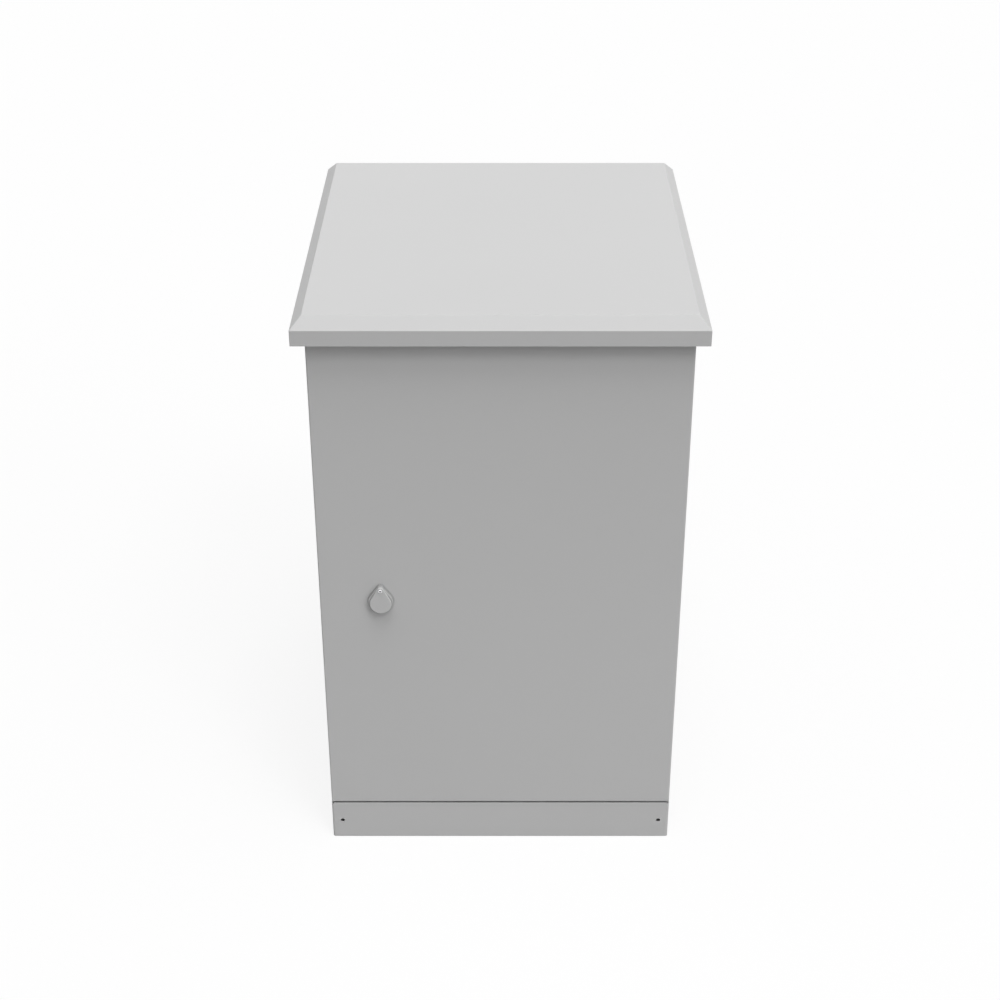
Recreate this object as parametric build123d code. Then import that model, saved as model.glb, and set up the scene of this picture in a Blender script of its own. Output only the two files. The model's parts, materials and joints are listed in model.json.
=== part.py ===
from build123d import *
from math import acos, atan, atan2, cos, pi, radians, sin, sqrt, tan
import os

# Outdoor fibre cabinet: a sheet-steel body on a plinth, under a hood, with one door on a three-point latch.
# Millimetres, +Z up, the front faces -Y, the origin is the middle of the footprint on the ground.

# Overall sizes
WIDTH = 600.0
DEPTH = 680.0
PLINTH_HEIGHT = 76.0
BODY_HEIGHT = 920.0
SHEET = 1.5
PLATE = 2.0
SLIDE_FIT = 0.2
RUNNING_FIT = 0.05
REST_GAP = 0.3

# Hexagon heads and nuts, and the hexagon sockets of round heads, as shares of the thread's diameter
HEX_ACROSS = 1.6
HEX_HEAD = 0.65
NUT_HEIGHT = 0.8
SOCKET_ACROSS = 0.6
SOCKET_DEEP = 0.3

# Plinth, folded from thicker sheet
PLINTH_SHEET = 2.0
PLINTH_BEND = 4.0
PLINTH_FLANGE = 40.0
PLINTH_RELIEF = 3.0
ANCHOR_HOLE = 13.0
ANCHOR_EDGE_X = 50.0
ANCHOR_EDGE_Y = 22.0
FRONT_HOLE = 7.6
FRONT_HOLE_EDGE = 18.0
FRONT_HOLE_Z = 36.6
PLINTH_BOLT = 10.0
PLINTH_BOLT_EDGE = 24.0
PLINTH_BOLT_END = 100.0

# Body walls and trays
WALL_BEND = 2.0
WALL_FLANGE = 15.0
TRAY_RIM = 14.0
PANEL_SCREW = 5.0
PANEL_SCREW_EDGE = 8.0
PANEL_SCREW_STEP = 215.0
VENT_LENGTH = 70.0
VENT_WIDTH = 8.0
VENT_STEP = 16.0
VENT_COUNT = 6
VENT_X = 180.0

# Front frame that the door closes on
SEAL_SPACE = 25.0
LIP = 12.0
FRAME_SIDE = 36.0
FRAME_SILL = 32.0
FRAME_HEAD = 52.0

# Hood
HOOD_OVERHANG = 20.0
HOOD_DROP = 18.0
HOOD_SKIRT = 25.5
HOOD_BEVEL_IN = 18.0
HOOD_BEVEL_UP = 18.5
HOOD_EDGE = 1.6
SPACER_RADIUS = 12.5
HOOD_STUD = 8.0
HOOD_STUD_EDGE_X = 60.0
HOOD_STUD_EDGE_Y = 80.0
HOOD_STUD_BELOW = 12.0

# Door
DOOR_SIDE_GAP = 0.5
DOOR_BOTTOM_GAP = 2.5
DOOR_TOP_GAP = 4.0
DOOR_DEPTH = 18.0
DOOR_BEND = 2.6
STIFFENER_WIDTH = 40.0
STIFFENER_DEPTH = 13.0
STIFFENER_FOOT = 12.0
STIFFENER_X = (-50.0, 140.0)
STIFFENER_END = 60.0
SEAL_WIDTH = 12.0

# Hinges on the right, out of sight when the door is shut
HINGE_IN = 7.5
HINGE_SIDE = 9.0
HINGE_PIN = 5.0
HINGE_PIN_HEAD = 8.0
KNUCKLE = 11.4
KNUCKLE_LENGTH = 30.0
HINGE_LEAF = 2.5
HINGE_SEAL_GAP = 2.75
HINGE_FOOT_EDGE = 2.5
HINGE_END = 162.0

# Lock, seen from outside
LOCK_IN = 102.0
LOCK_UP = 429.0
LOCK_RADIUS = 21.0
LOCK_PROUD = 8.5
LOCK_EDGE = 1.0
LUG_UP = 26.5
LUG_RADIUS = 5.4
BARREL_RADIUS = 11.0
BARREL_LENGTH = 20.0
LOCK_NUT_THICK = 6.0
LOCK_NUT_ACROSS = 31.9
PLUG_RADIUS = 8.0
PLUG_SUNK = 0.6
KEYWAY = (2.4, 9.0, 7.0)
COVER_RADIUS = 18.0
COVER_THICK = 3.0
RIVET_SHANK = 2.2
RIVET_HEAD = 3.5
RIVET_BORE = 1.3
RIVET_HEAD_THICK = 1.6

# Latch behind the door
MODULE = 1.75
PINION_TEETH = 13
PRESSURE_ANGLE = 25.0
BACKLASH = 0.2
ROD_WIDTH = 14.0
ROD_THICK = 3.0
ROD_CHAMFER = 3.5
ROD_BEHIND_FRAME = 0.5
ROD_REST_GAP = 2.5
UPPER_RACK_TEETH = 7
LOWER_RACK_TEETH = 8
RACK_END = 1.0
PINION_THICK = 5.0
SQUARE = 8.0
SPINDLE_THREAD = 6.0
CASE_HALF_WIDTH = 36.0
CASE_HALF_HEIGHT = 38.0
CASE_WALL = 2.5
CASE_EAR = 13.0
CASE_STUD = 7.0
TONGUE_LENGTH = 84.0
TONGUE_TIP = 18.0
TONGUE_WIDTH = 20.0
TONGUE_THICK = 4.0
TONGUE_GAP = 1.0
TONGUE_NUT_ACROSS = 13.6
GUIDE_FROM_SILL = 62.0
GUIDE_FROM_HEAD = 39.0
GUIDE_FROM_LOCK = (155.0, 150.0)
GUIDE_WIDTH = 24.0
GUIDE_HEIGHT = 16.0
GUIDE_WALL = 2.5

# Equipment rails, 19 inch pattern
RAIL_BEHIND_FRAME = 100.0
RAIL_BEFORE_BACK = 105.0
RACK_CLEAR = 451.0
RACK_PITCH = 465.1
RACK_UNIT = 44.45
RACK_START = 42.5
RACK_HEADROOM = 60.0
RAIL_FLANGE = 23.5
RAIL_WEB = 30.0
RAIL_HOLE = 9.5
RAIL_HOLE_OFFSETS = (6.35, 22.225, 38.1)
RAIL_BOLT = 8.0

# Rack-mounted equipment
PANEL_WIDTH = 482.6
PANEL_GAP = 0.8
PANEL_HEIGHT = RACK_UNIT - PANEL_GAP
EAR_SLOT = (10.0, 6.6)
RACK_SCREW = 6.0
RACK_SCREW_HEAD = (10.0, 3.0)
RACK_SCREW_LENGTH = 12.0
CHASSIS_SIDE_GAP = 8.5
CHASSIS_DEPTH = 180.0
PATCH_UNITS_DOWN = (4, 2)
ADAPTER_COUNT = 12
ADAPTER_STEP = 34.0
ADAPTER_SIZE = (25.4, 9.4)
ADAPTER_LENGTH = 28.0
ADAPTER_RECESS = 45.0
ADAPTER_FLANGE = (31.4, 13.4, 2.0)
PORT = (10.3, 7.4, 8.0)
FLAP_PIVOT_IN = 4.0
FLAP_PIVOT_UP = 4.0
FLAP_PIN = 3.0
FLAP_PULL = (40.0, 6.0)
FLAP_PULL_UP = 33.0
MOUTH = 10.0
SHELF_UNIT = 5
SHELF_DEPTH = 260.0
SHELF_SIDE = (44.0, 14.5)
TRAY_SIZE = (300.0, 170.0, 12.0)
TRAY_WALL = 1.5
TRAY_CORNER = 22.0
TRAY_BACK = 220.0
FIBRE_RING_RADIUS = 42.5
FIBRE_RING_EDGE = 72.25
COMB_RIBS = 7
COMB_STEP = 7.0
COMB_RIB = (2.0, 57.0)
COMB_LOWER = 3.0
RING_LOWER = 2.0
LID_PIN = 3.0
LID_EAR = (72.0, 81.0)
LID_ARM_X = 60.0

# Cable entry and earthing
GLAND_PLATE = (320.0, 110.0)
GLAND_OPENING = (290.0, 80.0)
GLAND_BEFORE_BACK = 125.0
GLAND_STEP = 68.0
GLAND_COUNT = 4
GLAND_THREAD = 12.5
GLAND_BORE = 8.0
GLAND_DOME = 15.0
GLAND_DOME_HEIGHT = 26.0
GLAND_HEX = (28.75, 7.0)
GLAND_NECK = 12.0
GLAND_NUT = (32.5, 6.0)
CLAMP_BAR_UP = 162.5
CLAMP_BAR_HEIGHT = 30.0
CLAMP_BAR_DEPTH = 15.0
CLAMP_BAR_BEND = 3.0
CLAMP_SLOT = (28.0, 9.0)
CLAMP_SLOT_STEP = 52.0
CLAMP_SLOT_COUNT = 10
EARTH_BAR = (200.0, 6.0, 20.0)
EARTH_BAR_UP = 72.5
EARTH_BAR_OFF = 20.0
EARTH_HOLE = 5.5
EARTH_HOLE_STEP = 22.0
EARTH_HOLE_COUNT = 7
EARTH_POST_EDGE = 12.0
EARTH_POST_RADIUS = 7.0
SPOOL_COUNT = 3
SPOOL_FIRST_UP = 282.5
SPOOL_STEP = 120.0
SPOOL_BEHIND_FRAME = 205.0
SPOOL_RADIUS = 26.0
SPOOL_RIM = 36.0
SPOOL_LENGTH = 34.0

# Document pocket on the door
POCKET = (200.0, 24.0, 170.0)
POCKET_WALL = 2.0
POCKET_DIP = (100.0, 42.5)
POCKET_UP = 171.5

# Planes worked out from the sizes above
FRONT = -DEPTH / 2
BACK = DEPTH / 2
BODY_TOP = PLINTH_HEIGHT + BODY_HEIGHT
HOOD_SKIRT_LOW = BODY_TOP - HOOD_DROP
DOOR_INSIDE = FRONT + SHEET
DOOR_REAR = FRONT + DOOR_DEPTH
DOOR_LOW = PLINTH_HEIGHT + DOOR_BOTTOM_GAP
DOOR_HIGH = HOOD_SKIRT_LOW - DOOR_TOP_GAP
FRAME_FACE = FRONT + SEAL_SPACE
FRAME_REAR = FRAME_FACE + SHEET
LIP_FRONT = FRAME_FACE - LIP
OPENING_HALF = WIDTH / 2 - FRAME_SIDE
OPENING_LOW = PLINTH_HEIGHT + FRAME_SILL
OPENING_HIGH = BODY_TOP - FRAME_HEAD
WALL_INSIDE = WIDTH / 2 - SHEET
TRAY_FRONT = FRAME_REAR + WALL_BEND
WALL_REAR = BACK - SHEET
TRAY_REAR = WALL_REAR - WALL_BEND
TRAY_TOP = PLINTH_HEIGHT + SHEET
CEILING = BODY_TOP - SHEET
HINGE_X = WIDTH / 2 - HINGE_SIDE
HINGE_Y = FRONT + HINGE_IN
HINGE_ARM_X = OPENING_HALF + SHEET / 2 + SEAL_WIDTH / 2 + HINGE_SEAL_GAP
HINGE_Z = (DOOR_LOW + HINGE_END, DOOR_HIGH - HINGE_END)
RAIL_FACE = FRAME_FACE + RAIL_BEHIND_FRAME
REAR_RAIL_FACE = BACK - RAIL_BEFORE_BACK
RACK_LOW = TRAY_TOP + RACK_START
RACK_UNITS = int((CEILING - RACK_HEADROOM - RACK_LOW) / RACK_UNIT)
PATCH_UNITS = [RACK_UNITS - down for down in PATCH_UNITS_DOWN]
CHASSIS_WIDTH = RACK_CLEAR - 2 * CHASSIS_SIDE_GAP
LOCK_X = LOCK_IN - WIDTH / 2
LOCK_Z = PLINTH_HEIGHT + LOCK_UP
ROD_FRONT = FRAME_REAR + ROD_BEHIND_FRAME
ROD_REAR = ROD_FRONT + ROD_THICK
CASE_INSIDE = ROD_REAR + SLIDE_FIT + REST_GAP
CASE_REAR = CASE_INSIDE + CASE_WALL
TONGUE_FRONT = CASE_REAR + TONGUE_GAP
TONGUE_REAR = TONGUE_FRONT + TONGUE_THICK
PITCH_RADIUS = MODULE * PINION_TEETH / 2
TOOTH_PITCH = pi * MODULE
ADDENDUM = MODULE
DEDENDUM = 1.25 * MODULE
COVER_REAR = FRONT - LOCK_PROUD - REST_GAP
COVER_FRONT = COVER_REAR - COVER_THICK
POCKET_Z = DOOR_LOW + POCKET_UP
GLAND_Y = BACK - GLAND_BEFORE_BACK
CLAMP_BAR_Z = TRAY_TOP + CLAMP_BAR_UP
EARTH_BAR_Z = TRAY_TOP + EARTH_BAR_UP
SPOOL_Y = FRAME_FACE + SPOOL_BEHIND_FRAME


def slab(x, y, z):
    """A box between two values on each axis."""
    box = Box(x[1] - x[0], y[1] - y[0], z[1] - z[0])
    return Pos((x[0] + x[1]) / 2, (y[0] + y[1]) / 2, (z[0] + z[1]) / 2) * box


def around(middle, size):
    """The low and high value of a span of this size about a middle."""
    return (middle - size / 2, middle + size / 2)


def pin_x(radius, x, y, z):
    return Pos((x[0] + x[1]) / 2, y, z) * Rot(0, 90, 0) * Cylinder(radius, x[1] - x[0])


def pin_y(radius, x, y, z):
    return Pos(x, (y[0] + y[1]) / 2, z) * Rot(90, 0, 0) * Cylinder(radius, y[1] - y[0])


def pin_z(radius, x, y, z):
    return Pos(x, y, (z[0] + z[1]) / 2) * Cylinder(radius, z[1] - z[0])


def hexagon_z(across, x, y, z):
    outline = RegularPolygon(radius=across / 2, side_count=6, major_radius=False)
    return Pos(x, y, z[0]) * extrude(outline, amount=z[1] - z[0])


def hexagon_y(across, x, y, z):
    """A hexagonal bar along Y; y gives its front and rear."""
    bar = hexagon_z(across, 0, 0, (0, y[1] - y[0]))
    return Pos(x, y[0], z) * Rot(-90, 0, 0) * bar


def section_z(outline, z):
    """A plan section (X right, Y back) raised between two heights."""
    return Pos(0, 0, z[0]) * extrude(outline, amount=z[1] - z[0])


def section_y(outline, y):
    """A section drawn as seen from behind in (-X, Z), drawn here in (X, Z), run between two depths."""
    solid = extrude(Plane.XZ * outline, amount=y[1] - y[0])
    return Pos(0, y[1], 0) * solid


def section_x(outline, x):
    """A side section (Y back, Z up) run between two widths."""
    return Pos(x[0], 0, 0) * extrude(Plane.YZ * outline, amount=x[1] - x[0])


def strip(points, thickness, bend):
    """The section of a folded sheet whose middle line runs through these points."""
    return trace(FilletPolyline(*points, radius=bend - thickness / 2), line_width=thickness)


def group(solids):
    return Compound(children=list(solids))


def mirror_x(solid):
    return mirror(solid, about=Plane.YZ)


def plinth():
    """A box folded from sheet, open in the middle, with flanges that clear every bolt from above."""
    outer = section_z(RectangleRounded(WIDTH, DEPTH, PLINTH_BEND), (0, PLINTH_HEIGHT))
    inside = RectangleRounded(WIDTH - 2 * PLINTH_SHEET, DEPTH - 2 * PLINTH_SHEET, PLINTH_BEND - PLINTH_SHEET)
    hollow = section_z(inside, (PLINTH_SHEET, PLINTH_HEIGHT - PLINTH_SHEET))
    window = Rectangle(WIDTH - 2 * PLINTH_FLANGE, DEPTH - 2 * PLINTH_FLANGE)
    cuts = [hollow, section_z(window, (0, PLINTH_HEIGHT))]
    anchor_y = DEPTH / 2 - ANCHOR_EDGE_Y
    anchor_x = WIDTH / 2 - ANCHOR_EDGE_X
    for x in (-anchor_x, anchor_x):
        for y in (-anchor_y, anchor_y):
            cuts.append(pin_z(ANCHOR_HOLE / 2, x, y, (0, PLINTH_SHEET)))
    flange_z = (PLINTH_HEIGHT - PLINTH_SHEET, PLINTH_HEIGHT)
    for x, y in plinth_bolt_places():
        cuts.append(pin_z(PLINTH_BOLT / 2 + SLIDE_FIT, x, y, flange_z))
    for x, y in rail_bolt_places():
        cuts.append(pin_z(RAIL_BOLT / 2 + SLIDE_FIT, x, y, flange_z))
    hole_x = WIDTH / 2 - FRONT_HOLE_EDGE
    for x in (-hole_x, hole_x):
        for y in ((FRONT, FRONT + PLINTH_SHEET), (BACK - PLINTH_SHEET, BACK)):
            cuts.append(pin_y(FRONT_HOLE / 2, x, y, FRONT_HOLE_Z))
    relief_z = (PLINTH_HEIGHT - PLINTH_RELIEF, PLINTH_HEIGHT)
    for x in (-1, 1):
        for y in (-1, 1):
            corner_x = sorted((x * (WIDTH / 2 - PLINTH_BEND), x * WIDTH / 2))
            corner_y = sorted((y * (DEPTH / 2 - PLINTH_BEND), y * DEPTH / 2))
            cuts.append(slab(corner_x, corner_y, relief_z))
    return outer - cuts


def plinth_bolt_places():
    x = WIDTH / 2 - PLINTH_BOLT_EDGE
    y = DEPTH / 2 - PLINTH_BOLT_END
    return [(i, j) for i in (-x, x) for j in (-y, y)]


def hex_bolt(diameter, x, y, seat, grip):
    """A hexagon bolt standing head up: its head sits at seat and its shank reaches grip below."""
    head = hexagon_z(HEX_ACROSS * diameter, x, y, (seat, seat + HEX_HEAD * diameter))
    return head + pin_z(diameter / 2, x, y, (seat - grip, seat))


def plinth_bolts():
    grip = SHEET + PLINTH_SHEET + PLINTH_BOLT
    return group(hex_bolt(PLINTH_BOLT, x, y, TRAY_TOP, grip) for x, y in plinth_bolt_places())


def side_wall():
    """The right wall: one sheet folded into a channel, with flanges for the frame and the back wall."""
    middle = WIDTH / 2 - SHEET / 2
    tip = WIDTH / 2 - WALL_FLANGE
    front = FRAME_REAR + SHEET / 2
    rear = WALL_REAR - SHEET / 2
    outline = strip([(tip, front), (middle, front), (middle, rear), (tip, rear)], SHEET, WALL_BEND)
    wall = section_z(outline, (PLINTH_HEIGHT, BODY_TOP))
    cuts = []
    for x, z in back_screw_places():
        if x > 0:
            cuts.append(pin_y(PANEL_SCREW / 2 + SLIDE_FIT, x, (WALL_REAR - SHEET, WALL_REAR), z))
    return wall - cuts


def back_screw_places():
    x = WIDTH / 2 - PANEL_SCREW_EDGE
    middle = PLINTH_HEIGHT + BODY_HEIGHT / 2
    rows = int((BODY_HEIGHT / 2 - PANEL_SCREW_EDGE) / PANEL_SCREW_STEP)
    heights = [middle + i * PANEL_SCREW_STEP for i in range(-rows, rows + 1)]
    return [(i, z) for i in (-x, x) for z in heights]


def back_wall():
    wall = slab((-WIDTH / 2, WIDTH / 2), (WALL_REAR, BACK), (PLINTH_HEIGHT, BODY_TOP))
    cuts = [pin_y(PANEL_SCREW / 2 + SLIDE_FIT, x, (WALL_REAR, BACK), z) for x, z in back_screw_places()]
    for x in earth_post_places():
        cuts.append(pin_y(PANEL_SCREW / 2 + RUNNING_FIT, x, (WALL_REAR, BACK), EARTH_BAR_Z))
    return wall - cuts


def back_screws():
    screws = []
    for x, z in back_screw_places():
        tip = BACK + PANEL_SCREW / 2
        head = pin_y(PANEL_SCREW, x, (BACK, tip), z)
        head = chamfer(head.edges().group_by(Axis.Y)[-1], PANEL_SCREW / 5)
        socket = hexagon_y(SOCKET_ACROSS * PANEL_SCREW, x, (tip - SOCKET_DEEP * PANEL_SCREW, tip), z)
        screws.append(head + pin_y(PANEL_SCREW / 2, x, (WALL_REAR - 2 * SHEET, BACK), z) - socket)
    return group(screws)


def tray(low, rim_up):
    """A flat tray between the walls; its rims turn up or down and are notched at the corners."""
    high = low + SHEET
    plate = slab((-WALL_INSIDE, WALL_INSIDE), (TRAY_FRONT, TRAY_REAR), (low, high))
    rim_z = (high, high + TRAY_RIM) if rim_up else (low - TRAY_RIM, low)
    notch = WALL_FLANGE
    span_x = (-WALL_INSIDE + notch, WALL_INSIDE - notch)
    span_y = (TRAY_FRONT + notch, TRAY_REAR - notch)
    front = slab(span_x, (TRAY_FRONT, TRAY_FRONT + SHEET), rim_z)
    rear = slab(span_x, (TRAY_REAR - SHEET, TRAY_REAR), rim_z)
    left = slab((-WALL_INSIDE, -WALL_INSIDE + SHEET), span_y, rim_z)
    right = slab((WALL_INSIDE - SHEET, WALL_INSIDE), span_y, rim_z)
    return plate + [front, rear, left, right]


def floor_tray():
    body = tray(PLINTH_HEIGHT, True)
    through = (PLINTH_HEIGHT, TRAY_TOP)
    cuts = [slab(around(0, GLAND_OPENING[0]), around(GLAND_Y, GLAND_OPENING[1]), through)]
    for x, y in plinth_bolt_places():
        cuts.append(pin_z(PLINTH_BOLT / 2 + SLIDE_FIT, x, y, through))
    for x, y in rail_bolt_places():
        cuts.append(pin_z(RAIL_BOLT / 2 + SLIDE_FIT, x, y, through))
    for x, y in gland_screw_places():
        cuts.append(pin_z(PANEL_SCREW / 2 + SLIDE_FIT, x, y, through))
    return body - cuts


def top_tray():
    body = tray(CEILING, False)
    through = (CEILING, BODY_TOP)
    cuts = []
    for x in (-VENT_X, VENT_X):
        for i in range(VENT_COUNT):
            y = (i - (VENT_COUNT - 1) / 2) * VENT_STEP
            cuts.append(Pos(x, y, 0) * section_z(SlotOverall(VENT_LENGTH, VENT_WIDTH), through))
    for x, y in hood_stud_places():
        cuts.append(pin_z(HOOD_STUD / 2 + SLIDE_FIT, x, y, through))
    for x, y in rail_bolt_places():
        cuts.append(pin_z(RAIL_BOLT / 2 + SLIDE_FIT, x, y, through))
    return body - cuts


def front_frame():
    """The ring that the door closes on: a flat flange with a raised lip round the opening."""
    height = (PLINTH_HEIGHT, BODY_TOP)
    half = OPENING_HALF
    flange = slab((-WIDTH / 2, WIDTH / 2), (FRAME_FACE, FRAME_REAR), height)
    lip_x = (-half - SHEET, half + SHEET)
    lip = slab(lip_x, (LIP_FRONT, FRAME_FACE), (OPENING_LOW - SHEET, OPENING_HIGH + SHEET))
    opening = slab((-half, half), (LIP_FRONT, FRAME_REAR), (OPENING_LOW, OPENING_HIGH))
    return flange + lip - opening


def hood_shape(half_x, half_y, low, skirt_top, top, bevel_x):
    """The outline of the hood: a straight skirt under four bevels and a flat top."""
    skirt = slab((-half_x, half_x), (-half_y, half_y), (low, skirt_top))
    base = Pos(0, 0, skirt_top) * Rectangle(2 * half_x, 2 * half_y)
    crown = Pos(0, 0, top) * Rectangle(2 * (half_x - bevel_x), 2 * (half_y - bevel_x))
    return skirt + loft([base.face(), crown.face()])


def roof_hood():
    half_x = WIDTH / 2 + HOOD_OVERHANG
    half_y = DEPTH / 2 + HOOD_OVERHANG
    skirt_top = HOOD_SKIRT_LOW + HOOD_SKIRT
    top = skirt_top + HOOD_BEVEL_UP
    outer = hood_shape(half_x, half_y, HOOD_SKIRT_LOW, skirt_top, top, HOOD_BEVEL_IN)
    edges = outer.edges().filter_by(lambda edge: edge.center().Z > HOOD_SKIRT_LOW + HOOD_EDGE)
    outer = fillet(edges, HOOD_EDGE)
    slope = atan2(HOOD_BEVEL_UP, HOOD_BEVEL_IN)
    inner_skirt_top = skirt_top - SHEET * tan((pi / 2 - slope) / 2)
    inner_bevel = HOOD_BEVEL_IN - SHEET + SHEET * tan(slope / 2)
    half_x -= SHEET
    half_y -= SHEET
    inner = hood_shape(half_x, half_y, HOOD_SKIRT_LOW, inner_skirt_top, top - SHEET, inner_bevel)
    studs = []
    for x, y in hood_stud_places():
        studs.append(pin_z(HOOD_STUD / 2, x, y, (CEILING - HOOD_STUD_BELOW, top - SHEET)))
    return outer - inner + studs


def hood_stud_places():
    x = WIDTH / 2 - HOOD_STUD_EDGE_X
    y = DEPTH / 2 - HOOD_STUD_EDGE_Y
    return [(i, j) for i in (-x, x) for j in (-y, y)]


def roof_spacers():
    top = HOOD_SKIRT_LOW + HOOD_SKIRT + HOOD_BEVEL_UP - SHEET
    spacers = []
    for x, y in hood_stud_places():
        tube = pin_z(SPACER_RADIUS, x, y, (BODY_TOP, top))
        spacers.append(tube - pin_z(HOOD_STUD / 2 + SLIDE_FIT, x, y, (BODY_TOP, top)))
    return group(spacers)


def roof_nuts():
    nuts = []
    for x, y in hood_stud_places():
        nut = hexagon_z(HEX_ACROSS * HOOD_STUD, x, y, (CEILING - NUT_HEIGHT * HOOD_STUD, CEILING))
        nuts.append(nut - pin_z(HOOD_STUD / 2 + RUNNING_FIT, x, y, (CEILING - HOOD_STUD, CEILING)))
    return group(nuts)


def door_panel():
    """The door skin: a pan folded from one sheet, open towards the body."""
    half = WIDTH / 2 - DOOR_SIDE_GAP
    outer = slab((-half, half), (FRONT, DOOR_REAR), (DOOR_LOW, DOOR_HIGH))
    face = outer.faces().sort_by(Axis.Y)[0]
    outer = fillet(face.edges(), DOOR_BEND)
    inside_x = (-half + SHEET, half - SHEET)
    inner = slab(inside_x, (DOOR_INSIDE, DOOR_REAR), (DOOR_LOW + SHEET, DOOR_HIGH - SHEET))
    face = inner.faces().sort_by(Axis.Y)[0]
    inner = fillet(face.edges(), DOOR_BEND - SHEET)
    hole = pin_y(BARREL_RADIUS + SLIDE_FIT, LOCK_X, (FRONT, DOOR_INSIDE), LOCK_Z)
    return outer - inner - hole


def door_stiffener(x):
    """A hat section welded upright on the inside of the door skin."""
    foot = DOOR_INSIDE + SHEET / 2
    crown = DOOR_INSIDE + STIFFENER_DEPTH - SHEET / 2
    half = STIFFENER_WIDTH / 2 - SHEET / 2
    toe = STIFFENER_WIDTH / 2 + STIFFENER_FOOT
    points = [(-toe, foot), (-half, foot), (-half, crown), (half, crown), (half, foot), (toe, foot)]
    outline = strip(points, SHEET, WALL_BEND)
    return Pos(x, 0, 0) * section_z(outline, (DOOR_LOW + STIFFENER_END, DOOR_HIGH - STIFFENER_END))


def door_seal():
    """A foam ring on the door that stands on the lip of the front frame."""
    lip_x = OPENING_HALF + SHEET / 2
    low = OPENING_LOW - SHEET / 2
    high = OPENING_HIGH + SHEET / 2
    half = SEAL_WIDTH / 2
    depth = (DOOR_INSIDE, LIP_FRONT - REST_GAP)
    outer = slab((-lip_x - half, lip_x + half), depth, (low - half, high + half))
    inner = slab((-lip_x + half, lip_x - half), depth, (low + half, high - half))
    return outer - inner


def knuckle(z):
    outer = pin_z(KNUCKLE / 2, HINGE_X, HINGE_Y, z)
    return outer, pin_z(HINGE_PIN / 2 + RUNNING_FIT, HINGE_X, HINGE_Y, z)


def hinge_frame_leaf(z):
    """The cranked leaf on the frame; it reaches forward and then across to the pin."""
    span = around(z, KNUCKLE_LENGTH - 2 * SLIDE_FIT)
    tube, bore = knuckle(span)
    arm_x = HINGE_ARM_X
    across_y = around(HINGE_Y + HINGE_LEAF / 4, HINGE_LEAF)
    across = slab((arm_x, HINGE_X), across_y, span)
    back = slab((arm_x, arm_x + HINGE_LEAF), (across_y[0], FRAME_FACE), span)
    foot = slab((arm_x, WIDTH / 2 - HINGE_FOOT_EDGE), (FRAME_FACE - HINGE_LEAF, FRAME_FACE), span)
    return tube + [across, back, foot] - bore


def hinge_door_leaf(z):
    """Two knuckles on a strap welded inside the door skin, one above and one below the frame's knuckle."""
    half = KNUCKLE_LENGTH / 2
    spans = [(z - 2 * half, z - half), (z + half, z + 2 * half)]
    arm_x = HINGE_ARM_X
    strap_x = (arm_x, HINGE_X - KNUCKLE / 2 - REST_GAP)
    leaf = slab(strap_x, (DOOR_INSIDE, DOOR_INSIDE + HINGE_LEAF), around(z, 2 * KNUCKLE_LENGTH))
    for span in spans:
        tube, bore = knuckle(span)
        leaf = leaf + tube + slab((arm_x, HINGE_X), (DOOR_INSIDE, DOOR_INSIDE + HINGE_LEAF), span) - bore
    return leaf


def hinge_pin(z):
    length = around(z, 2 * KNUCKLE_LENGTH + HINGE_PIN)
    head = (z + KNUCKLE_LENGTH + SLIDE_FIT, length[1])
    shank = pin_z(HINGE_PIN / 2, HINGE_X, HINGE_Y, length)
    return shank + pin_z(HINGE_PIN_HEAD / 2, HINGE_X, HINGE_Y, head)


def drop_outline(radius, lug_radius, up):
    """A disc with a round lug above it, joined by a tapering neck, drawn about the disc's centre."""
    lean = acos((radius - lug_radius) / up)
    right = [
        (radius * sin(lean), radius * cos(lean)),
        (lug_radius * sin(lean), up + lug_radius * cos(lean)),
    ]
    left = [(-x, z) for x, z in reversed(right)]
    neck = make_face(Polyline(*right, *left, close=True))
    return Circle(radius) + neck + Pos(0, up) * Circle(lug_radius)


def lock_body():
    outline = drop_outline(LOCK_RADIUS, LUG_RADIUS, LUG_UP)
    rose = section_y(Pos(LOCK_X, LOCK_Z) * outline, (FRONT - LOCK_PROUD, FRONT))
    rim = rose.faces().sort_by(Axis.Y)[0].outer_wire().edges()
    rose = chamfer(rim, LOCK_EDGE)
    barrel = pin_y(BARREL_RADIUS, LOCK_X, (FRONT, FRONT + BARREL_LENGTH), LOCK_Z)
    bore = pin_y(PLUG_RADIUS + RUNNING_FIT, LOCK_X, (FRONT - LOCK_PROUD, FRONT + BARREL_LENGTH), LOCK_Z)
    seat = pin_y(RIVET_SHANK, LOCK_X, (FRONT - LOCK_PROUD, FRONT), LOCK_Z + LUG_UP)
    return rose + barrel - [bore, seat]


def cover_rivet():
    """The tubular rivet that the dust cover swings on."""
    z = LOCK_Z + LUG_UP
    head = pin_y(RIVET_HEAD, LOCK_X, (COVER_FRONT - REST_GAP - RIVET_HEAD_THICK, COVER_FRONT - REST_GAP), z)
    rim = head.faces().sort_by(Axis.Y)[0].edges()
    head = fillet(rim, RIVET_HEAD_THICK / 2)
    shank = pin_y(RIVET_SHANK, LOCK_X, (COVER_FRONT - REST_GAP, FRONT), z)
    tip = COVER_FRONT - REST_GAP - RIVET_HEAD_THICK
    return head + shank - pin_y(RIVET_BORE, LOCK_X, (tip, COVER_FRONT + COVER_THICK), z)


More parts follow.
